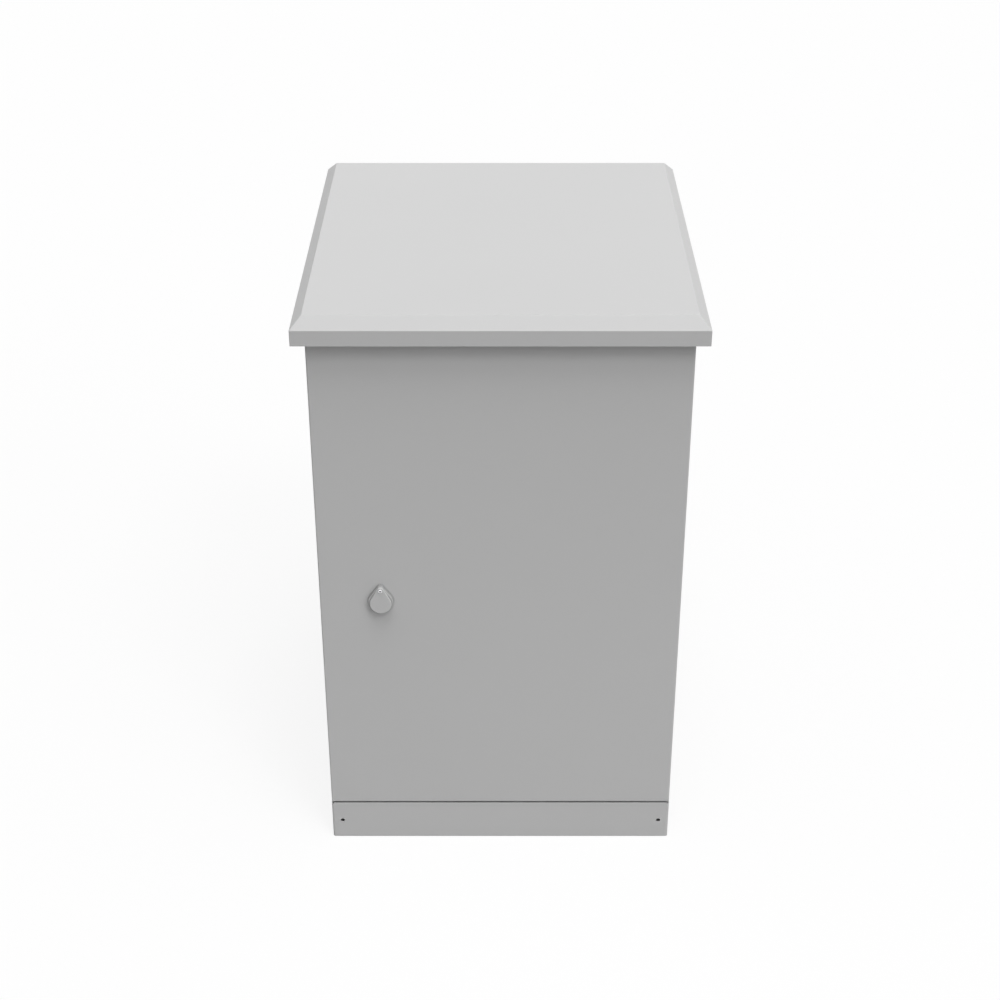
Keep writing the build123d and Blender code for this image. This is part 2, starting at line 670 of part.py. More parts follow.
def dust_cover():
    outline = drop_outline(COVER_RADIUS, LUG_RADIUS, LUG_UP)
    cover = section_y(Pos(LOCK_X, LOCK_Z) * outline, (COVER_FRONT, COVER_REAR))
    rim = cover.faces().sort_by(Axis.Y)[0].outer_wire().edges()
    cover = chamfer(rim, LOCK_EDGE)
    hole = pin_y(RIVET_SHANK + RUNNING_FIT, LOCK_X, (COVER_FRONT, COVER_REAR), LOCK_Z + LUG_UP)
    return cover - hole


def lock_nut():
    depth = (DOOR_INSIDE, DOOR_INSIDE + LOCK_NUT_THICK)
    nut = hexagon_y(LOCK_NUT_ACROSS, LOCK_X, depth, LOCK_Z)
    return nut - pin_y(BARREL_RADIUS + RUNNING_FIT, LOCK_X, depth, LOCK_Z)


def lock_spindle():
    """The turning plug with its keyway, its square drive and the thread for the tongue nut."""
    front = FRONT - LOCK_PROUD + PLUG_SUNK
    shoulder = FRONT + BARREL_LENGTH
    plug = pin_y(PLUG_RADIUS, LOCK_X, (front, shoulder), LOCK_Z)
    square = slab(around(LOCK_X, SQUARE), (shoulder, TONGUE_REAR), around(LOCK_Z, SQUARE))
    thread = pin_y(SPINDLE_THREAD / 2, LOCK_X, (TONGUE_REAR, TONGUE_REAR + LOCK_NUT_THICK), LOCK_Z)
    keyway = slab(around(LOCK_X, KEYWAY[0]), (front, front + KEYWAY[2]), around(LOCK_Z, KEYWAY[1]))
    return plug + [square, thread] - keyway


def involute_angle(radius, base):
    roll = sqrt(max((radius / base) ** 2 - 1, 0))
    return roll - atan(roll)


def pinion_outline():
    """Involute teeth as one closed outline about the pinion's centre, the first tooth pointing to -X."""
    base = PITCH_RADIUS * cos(radians(PRESSURE_ANGLE))
    root = PITCH_RADIUS - DEDENDUM
    tip = PITCH_RADIUS + ADDENDUM
    half_pitch = pi / (2 * PINION_TEETH) - BACKLASH / (4 * PITCH_RADIUS)
    half_base = half_pitch + involute_angle(PITCH_RADIUS, base)
    steps = 4
    flank = [(root, half_base)]
    for i in range(steps + 1):
        radius = base + (tip - base) * i / steps
        flank.append((radius, half_base - involute_angle(radius, base)))
    points = []
    for tooth in range(PINION_TEETH):
        middle = pi + tooth * 2 * pi / PINION_TEETH
        for radius, angle in flank:
            points.append((radius * cos(middle - angle), radius * sin(middle - angle)))
        for radius, angle in reversed(flank):
            points.append((radius * cos(middle + angle), radius * sin(middle + angle)))
    return make_face(Polyline(*points, close=True))


def lock_pinion():
    outline = Pos(LOCK_X, LOCK_Z) * (pinion_outline() - Rectangle(SQUARE, SQUARE))
    return section_y(outline, (ROD_REAR + SLIDE_FIT - PINION_THICK, ROD_REAR + SLIDE_FIT))


def rack_outline(teeth, low, high):
    """A rack rod with its pitch line on Z and its teeth pointing to +X; teeth are their middles."""
    slope = tan(radians(PRESSURE_ANGLE))
    half_pitch = TOOTH_PITCH / 4 - BACKLASH / 4
    tip = half_pitch - ADDENDUM * slope
    root = half_pitch + DEDENDUM * slope
    back = -DEDENDUM - ROD_WIDTH
    points = [(back, low), (-DEDENDUM, low)]
    for z in teeth:
        points += [(-DEDENDUM, z - root), (ADDENDUM, z - tip), (ADDENDUM, z + tip), (-DEDENDUM, z + root)]
    return points + [(-DEDENDUM, high), (back, high)]


def rod_upper():
    """The upper rod: its rack is on the left of the pinion and it rises when the lock turns shut."""
    first = -(UPPER_RACK_TEETH + 2) / 2 * TOOTH_PITCH
    teeth = [first + i * TOOTH_PITCH for i in range(UPPER_RACK_TEETH)]
    low = first - TOOTH_PITCH / 2 - RACK_END
    high = OPENING_HIGH - ROD_REST_GAP - LOCK_Z
    outline = make_face(Polyline(*rack_outline(teeth, low, high), close=True))
    rod = section_y(Pos(LOCK_X - PITCH_RADIUS, LOCK_Z) * outline, (ROD_FRONT, ROD_REAR))
    return chamfer(rod.edges().filter_by(Axis.Y).group_by(Axis.Z)[-1], ROD_CHAMFER)


def rod_lower():
    """The lower rod: its rack is on the right of the pinion and it drops when the lock turns shut."""
    first = -LOWER_RACK_TEETH / 4 * TOOTH_PITCH
    teeth = [first + i * TOOTH_PITCH for i in range(LOWER_RACK_TEETH)]
    low = OPENING_LOW + ROD_REST_GAP - LOCK_Z
    high = teeth[-1] + TOOTH_PITCH / 2 + RACK_END
    points = [(-x, z) for x, z in rack_outline(teeth, low, high)]
    outline = make_face(Polyline(*points, close=True))
    rod = section_y(Pos(LOCK_X + PITCH_RADIUS, LOCK_Z) * outline, (ROD_FRONT, ROD_REAR))
    return chamfer(rod.edges().filter_by(Axis.Y).group_by(Axis.Z)[0], ROD_CHAMFER)


def rod_middle_x(side):
    """The middle of a rod's width: side is -1 for the upper rod and 1 for the lower one."""
    return LOCK_X + side * (PITCH_RADIUS + DEDENDUM + ROD_WIDTH / 2)


def rod_slot(side, z):
    """The clearance slot for a rod through a guide or the latch case."""
    x = around(rod_middle_x(side), ROD_WIDTH + 2 * SLIDE_FIT)
    return slab(x, (ROD_FRONT - SLIDE_FIT, ROD_REAR + SLIDE_FIT), z)


def latch_case():
    half_x = CASE_HALF_WIDTH
    half_z = CASE_HALF_HEIGHT
    outer = slab(around(LOCK_X, 2 * half_x), (DOOR_INSIDE, CASE_REAR), around(LOCK_Z, 2 * half_z))
    outer = fillet(outer.edges().filter_by(Axis.Y), 2 * CASE_WALL)
    inside_x = around(LOCK_X, 2 * (half_x - CASE_WALL))
    inside_z = around(LOCK_Z, 2 * (half_z - CASE_WALL))
    inner = slab(inside_x, (DOOR_INSIDE, CASE_INSIDE), inside_z)
    inner = fillet(inner.edges().filter_by(Axis.Y), CASE_WALL)
    ear_x = around(LOCK_X, 2 * (half_x + CASE_EAR))
    ears = slab(ear_x, (DOOR_INSIDE, DOOR_INSIDE + CASE_WALL), around(LOCK_Z, 2 * CASE_EAR))
    shaft = pin_y(SQUARE / sqrt(2) + REST_GAP, LOCK_X, (CASE_INSIDE, CASE_REAR), LOCK_Z)
    above = rod_slot(-1, (LOCK_Z, LOCK_Z + half_z))
    below = rod_slot(1, (LOCK_Z - half_z, LOCK_Z))
    studs = []
    for x in case_stud_places():
        studs.append(pin_y(PANEL_SCREW / 2 + SLIDE_FIT, x, (DOOR_INSIDE, DOOR_INSIDE + CASE_WALL), LOCK_Z))
    return outer + ears - [inner, shaft, above, below] - studs


def case_stud_places():
    offset = CASE_HALF_WIDTH + CASE_EAR / 2
    return [LOCK_X - offset, LOCK_X + offset]


def case_nuts():
    """Nuts on the two studs that hold the latch case, each drawn with its stud."""
    nuts = []
    seat = DOOR_INSIDE + CASE_WALL
    for x in case_stud_places():
        nut = hexagon_y(HEX_ACROSS * PANEL_SCREW, x, (seat, seat + NUT_HEIGHT * PANEL_SCREW), LOCK_Z)
        nuts.append(nut + pin_y(PANEL_SCREW / 2, x, (DOOR_INSIDE, seat + CASE_STUD), LOCK_Z))
    return group(nuts)


def guide_heights():
    below, above = GUIDE_FROM_LOCK
    return [OPENING_LOW + GUIDE_FROM_SILL, LOCK_Z - below, LOCK_Z + above, OPENING_HIGH - GUIDE_FROM_HEAD]


def rod_guide(z):
    side = 1 if z < LOCK_Z else -1
    depth = (DOOR_INSIDE, ROD_REAR + SLIDE_FIT + GUIDE_WALL)
    block = slab(around(rod_middle_x(side), GUIDE_WIDTH), depth, around(z, GUIDE_HEIGHT))
    hollow = slab(
        around(rod_middle_x(side), ROD_WIDTH),
        (DOOR_INSIDE + GUIDE_WALL, ROD_FRONT - GUIDE_WALL),
        around(z, GUIDE_HEIGHT),
    )
    return block - [hollow, rod_slot(side, around(z, GUIDE_HEIGHT))]


def lock_tongue():
    """The cam that turns behind the left edge of the frame; its tip is stepped forward to the flange."""
    half = TONGUE_WIDTH / 2
    z = (LOCK_Z - TONGUE_LENGTH, LOCK_Z)
    arm = slab(around(LOCK_X, TONGUE_WIDTH), (TONGUE_FRONT, TONGUE_REAR), z)
    eye = pin_y(half, LOCK_X, (TONGUE_FRONT, TONGUE_REAR), LOCK_Z)
    step = slab(around(LOCK_X, TONGUE_WIDTH), (ROD_FRONT, TONGUE_REAR), (z[0], z[0] + TONGUE_TIP))
    square = slab(around(LOCK_X, SQUARE), (TONGUE_FRONT, TONGUE_REAR), around(LOCK_Z, SQUARE))
    tongue = arm + [eye, step] - square
    return chamfer(tongue.edges().filter_by(Axis.Y).group_by(Axis.Z)[0], TONGUE_THICK / 2)


def tongue_nut():
    depth = (TONGUE_REAR, TONGUE_REAR + NUT_HEIGHT * SPINDLE_THREAD)
    nut = hexagon_y(TONGUE_NUT_ACROSS, LOCK_X, depth, LOCK_Z)
    return nut - pin_y(SPINDLE_THREAD / 2 + RUNNING_FIT, LOCK_X, depth, LOCK_Z)


def document_pocket():
    """An open-topped plastic pocket carried by the two stiffeners."""
    back = DOOR_INSIDE + STIFFENER_DEPTH
    middle = sum(STIFFENER_X) / 2
    x = around(middle, POCKET[0])
    z = (POCKET_Z, POCKET_Z + POCKET[2])
    outer = slab(x, (back, back + POCKET[1]), z)
    outer = fillet(outer.edges().filter_by(Axis.Y).group_by(Axis.Z)[0], 4 * POCKET_WALL)
    inner = slab(
        (x[0] + POCKET_WALL, x[1] - POCKET_WALL),
        (back + POCKET_WALL, back + POCKET[1] - POCKET_WALL),
        (z[0] + POCKET_WALL, z[1]),
    )
    inner = fillet(inner.edges().filter_by(Axis.Y).group_by(Axis.Z)[0], 3 * POCKET_WALL)
    dip_y = (back + POCKET_WALL, back + POCKET[1])
    dip = slab(around(middle, POCKET_DIP[0]), dip_y, (z[1] - POCKET_DIP[1], z[1]))
    return outer - [inner, dip]


def rail_hole_heights():
    units = [RACK_LOW + unit * RACK_UNIT for unit in range(RACK_UNITS)]
    return [low + offset for low in units for offset in RAIL_HOLE_OFFSETS]


def rail_foot_y(front):
    """The span in Y of a rail's end tabs, for the front or the rear pair."""
    if front:
        return (RAIL_FACE + PLATE, RAIL_FACE + RAIL_WEB)
    return (REAR_RAIL_FACE - RAIL_WEB, REAR_RAIL_FACE - PLATE)


def rail(side, front):
    """An upright angle with square holes on the 19 inch pattern and a bolted tab at each end."""
    face = (RAIL_FACE, RAIL_FACE + PLATE) if front else (REAR_RAIL_FACE - PLATE, REAR_RAIL_FACE)
    foot = rail_foot_y(front)
    inner = RACK_CLEAR / 2
    outer = inner + RAIL_FLANGE
    height = (TRAY_TOP, CEILING)
    flange = slab((inner, outer), face, height)
    web = slab((outer - PLATE, outer), (min(face[0], foot[0]), max(face[1], foot[1])), height)
    low_tab = slab((inner, outer - PLATE), foot, (TRAY_TOP, TRAY_TOP + PLATE))
    high_tab = slab((inner, outer - PLATE), foot, (CEILING - PLATE, CEILING))
    holes = []
    for z in rail_hole_heights():
        holes.append(slab(around(RACK_PITCH / 2, RAIL_HOLE), face, around(z, RAIL_HOLE)))
    x, y = rail_bolt_place(1, front)
    bolt_hole = pin_z(RAIL_BOLT / 2 + SLIDE_FIT, x, y, height)
    body = flange + [web, low_tab, high_tab] - holes - bolt_hole
    return body if side > 0 else mirror_x(body)


def rail_bolt_place(side, front):
    foot = rail_foot_y(front)
    x = RACK_CLEAR / 2 + (RAIL_FLANGE - PLATE) / 2
    return side * x, (foot[0] + foot[1]) / 2


def rail_bolt_places():
    return [rail_bolt_place(side, front) for side in (-1, 1) for front in (True, False)]


def rail_bolts():
    grip = PLATE + SHEET + RAIL_BOLT / 2
    bolts = []
    for x, y in rail_bolt_places():
        bolts.append(hex_bolt(RAIL_BOLT, x, y, TRAY_TOP + PLATE, grip))
        hanging = Rot(180, 0, 0) * hex_bolt(RAIL_BOLT, 0, 0, 0, grip)
        bolts.append(Pos(x, y, CEILING - PLATE) * hanging)
    return group(bolts)


def unit_low(unit):
    """The height of the bottom edge of a panel mounted at this rack unit."""
    return RACK_LOW + unit * RACK_UNIT + PANEL_GAP / 2


def panel_ears(low):
    """The two mounting ears in front of the rails, with open slots at the rail's holes."""
    ears = []
    for side in (-1, 1):
        x = sorted((side * CHASSIS_WIDTH / 2, side * PANEL_WIDTH / 2))
        ear = slab(x, (RAIL_FACE - PLATE, RAIL_FACE), (low, low + PANEL_HEIGHT))
        for offset in (RAIL_HOLE_OFFSETS[0], RAIL_HOLE_OFFSETS[-1]):
            z = low - PANEL_GAP / 2 + offset
            slot = Pos(side * RACK_PITCH / 2, z) * SlotOverall(*EAR_SLOT)
            ear -= section_y(slot, (RAIL_FACE - PLATE, RAIL_FACE))
        ears.append(ear)
    return ears


def flap_axis(low):
    return RAIL_FACE - PLATE + FLAP_PIVOT_IN, low + FLAP_PIVOT_UP


def patch_chassis(unit):
    """A one-unit chassis open at both ends, with a set-back panel that holds the adapters."""
    low = unit_low(unit)
    high = low + PANEL_HEIGHT
    half = CHASSIS_WIDTH / 2
    front = RAIL_FACE - PLATE
    rear = RAIL_FACE + CHASSIS_DEPTH
    outer = slab((-half, half), (front, rear), (low, high))
    inner = slab((-half + SHEET, half - SHEET), (front, rear), (low + SHEET, high - SHEET))
    mouth = slab((-half, half), (front, front + MOUTH), (low, low + SHEET))
    panel_y = (front + ADAPTER_RECESS, front + ADAPTER_RECESS + SHEET)
    panel = slab((-half + SHEET, half - SHEET), panel_y, (low + SHEET, high - SHEET))
    cuts = []
    adapter_z = around(low + PANEL_HEIGHT / 2, ADAPTER_SIZE[1])
    for x in adapter_places():
        cuts.append(slab(around(x, ADAPTER_SIZE[0]), panel_y, adapter_z))
    y, z = flap_axis(low)
    cuts.append(pin_x(FLAP_PIN / 2 + RUNNING_FIT, (-half, half), y, z))
    return outer - [inner, mouth] + panel + panel_ears(low) - cuts


def adapter_places():
    return [(i - (ADAPTER_COUNT - 1) / 2) * ADAPTER_STEP for i in range(ADAPTER_COUNT)]


def patch_adapters(unit):
    """Duplex adapters pushed through the panel, each with a flange and two ports at each end."""
    middle = unit_low(unit) + PANEL_HEIGHT / 2
    panel = RAIL_FACE - PLATE + ADAPTER_RECESS
    front = panel - ADAPTER_LENGTH / 2
    rear = panel + ADAPTER_LENGTH / 2
    wide, tall = ADAPTER_SIZE
    solids = []
    for x in adapter_places():
        body = slab(around(x, wide), (front, rear), around(middle, tall))
        flange_y = (panel - ADAPTER_FLANGE[2], panel)
        flange = slab(around(x, ADAPTER_FLANGE[0]), flange_y, around(middle, ADAPTER_FLANGE[1]))
        ports = []
        for side in (-1, 1):
            port_x = around(x + side * wide / 4, PORT[0])
            for depth in ((front, front + PORT[2]), (rear - PORT[2], rear)):
                ports.append(slab(port_x, depth, around(middle, PORT[1])))
        solids.append(body + flange - ports)
    return group(solids)


def patch_flap(unit):
    """The fold-down front of a chassis: a plate with two side lugs that carry its pivot pins."""
    low = unit_low(unit)
    half = CHASSIS_WIDTH / 2 - SHEET - REST_GAP
    y, z = flap_axis(low)
    face_y = (RAIL_FACE - PLATE, RAIL_FACE - PLATE + SHEET)
    plate = slab((-half, half), face_y, (low + REST_GAP, low + PANEL_HEIGHT - SHEET - REST_GAP))
    flap = plate
    for side in (-1, 1):
        lug_x = sorted((side * (half - SHEET), side * half))
        lug = pin_x(FLAP_PIVOT_UP - REST_GAP, lug_x, y, z)
        lug += slab(lug_x, (face_y[0], y), around(z, 2 * (FLAP_PIVOT_UP - REST_GAP)))
        pin_span = sorted((side * (half - SHEET), side * CHASSIS_WIDTH / 2))
        flap = flap + lug + pin_x(FLAP_PIN / 2, pin_span, y, z)
    pull_z = low + FLAP_PULL_UP
    pull = slab(around(0, FLAP_PULL[0]), (face_y[0] - FLAP_PULL[1], face_y[0]), (pull_z, pull_z + SHEET))
    return flap + pull


def panel_screws():
    """The screws that hold the ears of every rack-mounted unit to the rails."""
    screws = []
    for unit in (*PATCH_UNITS, SHELF_UNIT):
        low = unit_low(unit)
        for side in (-1, 1):
            for offset in (RAIL_HOLE_OFFSETS[0], RAIL_HOLE_OFFSETS[-1]):
                x = side * RACK_PITCH / 2
                z = low - PANEL_GAP / 2 + offset
                seat = RAIL_FACE - PLATE
                tip = seat - RACK_SCREW_HEAD[1]
                head = pin_y(RACK_SCREW_HEAD[0] / 2, x, (tip, seat), z)
                socket = hexagon_y(SOCKET_ACROSS * RACK_SCREW, x, (tip, tip + SOCKET_DEEP * RACK_SCREW), z)
                shank = pin_y(RACK_SCREW / 2, x, (seat, RAIL_FACE + RACK_SCREW_LENGTH), z)
                screws.append(head + shank - socket)
    return group(screws)


def splice_shelf():
    """A one-unit shelf with a low front, ears and tapering sides."""
    low = unit_low(SHELF_UNIT)
    high = low + PANEL_HEIGHT
    half = CHASSIS_WIDTH / 2
    front = RAIL_FACE - PLATE
    rear = RAIL_FACE + SHELF_DEPTH
    floor = slab((-half, half), (front, rear), (low, low + SHEET))
    face = slab((-half, half), (front, front + PLATE), (low, high))
    taper = [(rear, low + SHELF_SIDE[1]), (front + SHELF_SIDE[0], high)]
    side_points = [(front, low), (rear, low), *taper, (front, high)]
    side = make_face(Polyline(*side_points, close=True))
    right = section_x(side, (half - SHEET, half))
    return floor + [face, right, mirror_x(right)] + panel_ears(low)


def splice_tray(level):
    """A moulded tray with rounded corners, two fibre storage rings and a comb for the splices."""
    width, depth, height = TRAY_SIZE
    low = unit_low(SHELF_UNIT) + SHEET + level * height
    y = RAIL_FACE + TRAY_BACK - depth / 2
    outer = section_z(Pos(0, y) * RectangleRounded(width, depth, TRAY_CORNER), (low, low + height))
    inside = RectangleRounded(width - 2 * TRAY_WALL, depth - 2 * TRAY_WALL, TRAY_CORNER - TRAY_WALL)
    inner = section_z(Pos(0, y) * inside, (low + TRAY_WALL, low + height))
    tray_body = outer - inner
    wall_z = (low + TRAY_WALL, low + height - RING_LOWER)
    for side in (-1, 1):
        x = side * (width / 2 - FIBRE_RING_EDGE)
        outer_ring = pin_z(FIBRE_RING_RADIUS, x, y, wall_z)
        tray_body += outer_ring - pin_z(FIBRE_RING_RADIUS - TRAY_WALL, x, y, wall_z)
    comb_z = (wall_z[0], wall_z[1] - COMB_LOWER)
    for i in range(COMB_RIBS):
        rib_x = (i - (COMB_RIBS - 1) / 2) * COMB_STEP
        tray_body += slab(around(rib_x, COMB_RIB[0]), around(y, COMB_RIB[1]), comb_z)
    if level > 0:
        tray_body += lid_ears(low + height)
        bore_y, bore_z = lid_axis(low + height)
        tray_body -= pin_x(LID_PIN / 2 + RUNNING_FIT, (-TRAY_SIZE[0] / 2, TRAY_SIZE[0] / 2), bore_y, bore_z)
    return tray_body


def lid_axis(top):
    return RAIL_FACE + TRAY_BACK + LID_PIN, top + TRAY_WALL / 2


def lid_ears(top):
    """The ears behind the upper tray that its lid hinges on."""
    y, z = lid_axis(top)
    ears = []
    for side in (-1, 1):
        x = sorted((side * LID_EAR[0], side * LID_EAR[1]))
        ears.append(slab(x, (RAIL_FACE + TRAY_BACK - TRAY_WALL, y + LID_PIN), (top - LID_PIN, z)))
        ears.append(pin_x(LID_PIN, x, y, z))
    return ears


def splice_lid():
    """A thin cover plate that lies on the upper tray and turns up about two pins behind it."""
    width, depth, height = TRAY_SIZE
    top = unit_low(SHELF_UNIT) + SHEET + 2 * height
    y, z = lid_axis(top)
    middle = RAIL_FACE + TRAY_BACK - depth / 2
    outline = Pos(0, middle) * RectangleRounded(width, depth, TRAY_CORNER)
    lid = section_z(outline, (top, top + TRAY_WALL))
    back = RAIL_FACE + TRAY_BACK
    for side in (-1, 1):
        notch_x = sorted((side * (LID_EAR[0] - REST_GAP), side * (LID_EAR[1] + REST_GAP)))
        lid -= slab(notch_x, (back - 2 * LID_PIN, back), (top, top + TRAY_WALL))
        arm_x = sorted((side * LID_ARM_X, side * (LID_EAR[0] - REST_GAP)))
        lid += slab(arm_x, (back - LID_PIN, y), (top, top + TRAY_WALL))
        lid += pin_x(LID_PIN / 2, sorted((side * LID_ARM_X, side * LID_EAR[1])), y, z)
    return lid


def gland_places():
    return [(i - (GLAND_COUNT - 1) / 2) * GLAND_STEP for i in range(GLAND_COUNT)]


def gland_screw_places():
    x = (GLAND_PLATE[0] + GLAND_OPENING[0]) / 4
    y = (GLAND_PLATE[1] + GLAND_OPENING[1]) / 4
    return [(i, GLAND_Y + j) for i in (-x, x) for j in (-y, y)]


def gland_plate():
    z = (TRAY_TOP, TRAY_TOP + PLATE)
    plate = slab(around(0, GLAND_PLATE[0]), around(GLAND_Y, GLAND_PLATE[1]), z)
    cuts = [pin_z(GLAND_THREAD + SLIDE_FIT, x, GLAND_Y, z) for x in gland_places()]
    cuts += [pin_z(PANEL_SCREW / 2 + SLIDE_FIT, x, y, z) for x, y in gland_screw_places()]
    return plate - cuts


def gland_screws():
    screws = []
    for x, y in gland_screw_places():
        screws.append(hex_bolt(PANEL_SCREW, x, y, TRAY_TOP + PLATE, PLATE + SHEET + PANEL_SCREW))
    return group(screws)


def cable_gland(x):
    """A gland through the plate: a hexagon below, a threaded neck, and a domed nut inside the cabinet."""
    top = TRAY_TOP + PLATE
    low = TRAY_TOP - GLAND_NECK
    hexagon = hexagon_z(GLAND_HEX[0], x, GLAND_Y, (top, top + GLAND_HEX[1]))
    neck = pin_z(GLAND_THREAD, x, GLAND_Y, (low, top))
    dome = pin_z(GLAND_DOME, x, GLAND_Y, (top + GLAND_HEX[1], top + GLAND_DOME_HEIGHT))
    dome = fillet(dome.edges().group_by(Axis.Z)[-1], GLAND_DOME / 3)
    bore = pin_z(GLAND_BORE, x, GLAND_Y, (low, top + GLAND_DOME_HEIGHT))
    return hexagon + [neck, dome] - bore


def gland_locknut(x):
    z = (TRAY_TOP - GLAND_NUT[1], TRAY_TOP)
    return hexagon_z(GLAND_NUT[0], x, GLAND_Y, z) - pin_z(GLAND_THREAD + RUNNING_FIT, x, GLAND_Y, z)


def cable_clamp_bar():
    """A slotted channel across the back, from wall to wall, that cables are clamped to."""
    rear = TRAY_REAR
    front = rear - CLAMP_BAR_DEPTH
    half = CLAMP_BAR_HEIGHT / 2 - PLATE / 2
    points = [
        (rear, CLAMP_BAR_Z - half),
        (front + PLATE / 2, CLAMP_BAR_Z - half),
        (front + PLATE / 2, CLAMP_BAR_Z + half),
        (rear, CLAMP_BAR_Z + half),
    ]
    bar = section_x(strip(points, PLATE, CLAMP_BAR_BEND), (-WALL_INSIDE, WALL_INSIDE))
    cuts = []
    for i in range(CLAMP_SLOT_COUNT):
        x = (i - (CLAMP_SLOT_COUNT - 1) / 2) * CLAMP_SLOT_STEP
        slot = Pos(x, CLAMP_BAR_Z) * SlotOverall(CLAMP_SLOT[0], CLAMP_SLOT[1])
        cuts.append(section_y(slot, (front, front + PLATE)))
    return bar - cuts


def earth_post_places():
    x = EARTH_BAR[0] / 2 - EARTH_POST_EDGE
    return [-x, x]


def earth_bar():
    front = WALL_REAR - EARTH_BAR_OFF - EARTH_BAR[1]
    y = (front, front + EARTH_BAR[1])
    bar = slab(around(0, EARTH_BAR[0]), y, around(EARTH_BAR_Z, EARTH_BAR[2]))
    cuts = [pin_y(PANEL_SCREW / 2 + SLIDE_FIT, x, y, EARTH_BAR_Z) for x in earth_post_places()]
    for i in range(EARTH_HOLE_COUNT):
        x = (i - (EARTH_HOLE_COUNT - 1) / 2) * EARTH_HOLE_STEP
        cuts.append(pin_y(EARTH_HOLE / 2, x, y, EARTH_BAR_Z))
    return bar - cuts


def earth_posts():
    """Spacers with screws that hold the earth bar off the back wall."""
    bar_front = WALL_REAR - EARTH_BAR_OFF - EARTH_BAR[1]
    posts = []
    for x in earth_post_places():
        spacer = pin_y(EARTH_POST_RADIUS, x, (bar_front + EARTH_BAR[1], WALL_REAR), EARTH_BAR_Z)
        screw = pin_y(PANEL_SCREW / 2, x, (bar_front, BACK), EARTH_BAR_Z)
        head_y = (bar_front - HEX_HEAD * PANEL_SCREW, bar_front)
        head = hexagon_y(HEX_ACROSS * PANEL_SCREW, x, head_y, EARTH_BAR_Z)
        posts.append(spacer + [screw, head])
    return group(posts)


def spool_heights():
    return [TRAY_TOP + SPOOL_FIRST_UP + i * SPOOL_STEP for i in range(SPOOL_COUNT)]


def fibre_spool(z):
    """A bend-limiting spool on the right wall: a drum, hollow behind, with a wide rim."""
    wall = WALL_INSIDE
    drum = pin_x(SPOOL_RADIUS, (wall - SPOOL_LENGTH, wall), SPOOL_Y, z)
    rim = pin_x(SPOOL_RIM, (wall - SPOOL_LENGTH - PLATE, wall - SPOOL_LENGTH), SPOOL_Y, z)
    hollow = pin_x(SPOOL_RADIUS - PLATE, (wall - SPOOL_LENGTH, wall), SPOOL_Y, z)
    return drum + rim - hollow


def all_nodes():
    yield "plinth", plinth()
    yield "plinth_bolts", plinth_bolts()
    yield "floor_tray", floor_tray()
    yield "top_tray", top_tray()
    right = side_wall()
    yield "right_wall", right
    yield "left_wall", mirror_x(right)
    yield "back_wall", back_wall()
    yield "back_screws", back_screws()
    yield "front_frame", front_frame()
    yield "roof_hood", roof_hood()
    yield "roof_spacers", roof_spacers()
    yield "roof_nuts", roof_nuts()
    yield "door_panel", door_panel()
    yield "door_stiffener_left", door_stiffener(STIFFENER_X[0])
    yield "door_stiffener_right", door_stiffener(STIFFENER_X[1])
    yield "door_seal", door_seal()
    for name, z in zip(("lower", "upper"), HINGE_Z):
        yield f"hinge_frame_leaf_{name}", hinge_frame_leaf(z)
        yield f"hinge_door_leaf_{name}", hinge_door_leaf(z)
        yield f"hinge_pin_{name}", hinge_pin(z)
    yield "lock_body", lock_body()
    yield "cover_rivet", cover_rivet()
    yield "dust_cover", dust_cover()
    yield "lock_nut", lock_nut()
    yield "lock_spindle", lock_spindle()
    yield "lock_pinion", lock_pinion()
    yield "lock_tongue", lock_tongue()
    yield "tongue_nut", tongue_nut()
    yield "latch_case", latch_case()
    yield "case_nuts", case_nuts()
    yield "rod_upper", rod_upper()
    yield "rod_lower", rod_lower()
    yield "rod_guides", group(rod_guide(z) for z in guide_heights())
    yield "document_pocket", document_pocket()
    for side, side_name in ((-1, "left"), (1, "right")):
        for front, front_name in ((True, "front"), (False, "rear")):
            yield f"rail_{front_name}_{side_name}", rail(side, front)
    yield "rail_bolts", rail_bolts()
    for name, unit in zip(("lower", "upper"), PATCH_UNITS):
        yield f"patch_chassis_{name}", patch_chassis(unit)
        yield f"patch_adapters_{name}", patch_adapters(unit)
        yield f"patch_flap_{name}", patch_flap(unit)
    yield "panel_screws", panel_screws()
    yield "splice_shelf", splice_shelf()
    yield "splice_tray_lower", splice_tray(0)
    yield "splice_tray_upper", splice_tray(1)
    yield "splice_lid", splice_lid()
    yield "gland_plate", gland_plate()
    yield "gland_screws", gland_screws()
    yield "cable_glands", group(cable_gland(x) for x in gland_places())
    yield "gland_locknuts", group(gland_locknut(x) for x in gland_places())
    yield "cable_clamp_bar", cable_clamp_bar()
    yield "earth_bar", earth_bar()
    yield "earth_posts", earth_posts()
    yield "fibre_spools", group(fibre_spool(z) for z in spool_heights())


os.makedirs("parts", exist_ok=True)
for node, solid in all_nodes():
    export_step(solid, f"parts/{node}.step")
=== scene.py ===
# %% [markdown]
# An outdoor fibre cabinet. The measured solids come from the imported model, which is
# loaded here as a frame that never moves. Blender adds the finishes, the soft and
# moulded pieces that the solids only block out, the light and the camera.
# Loading comes first, because every size below is read from the frame.

# %% Load the frame
import json
import math

import bmesh
import bpy
from mathutils import Matrix, Vector


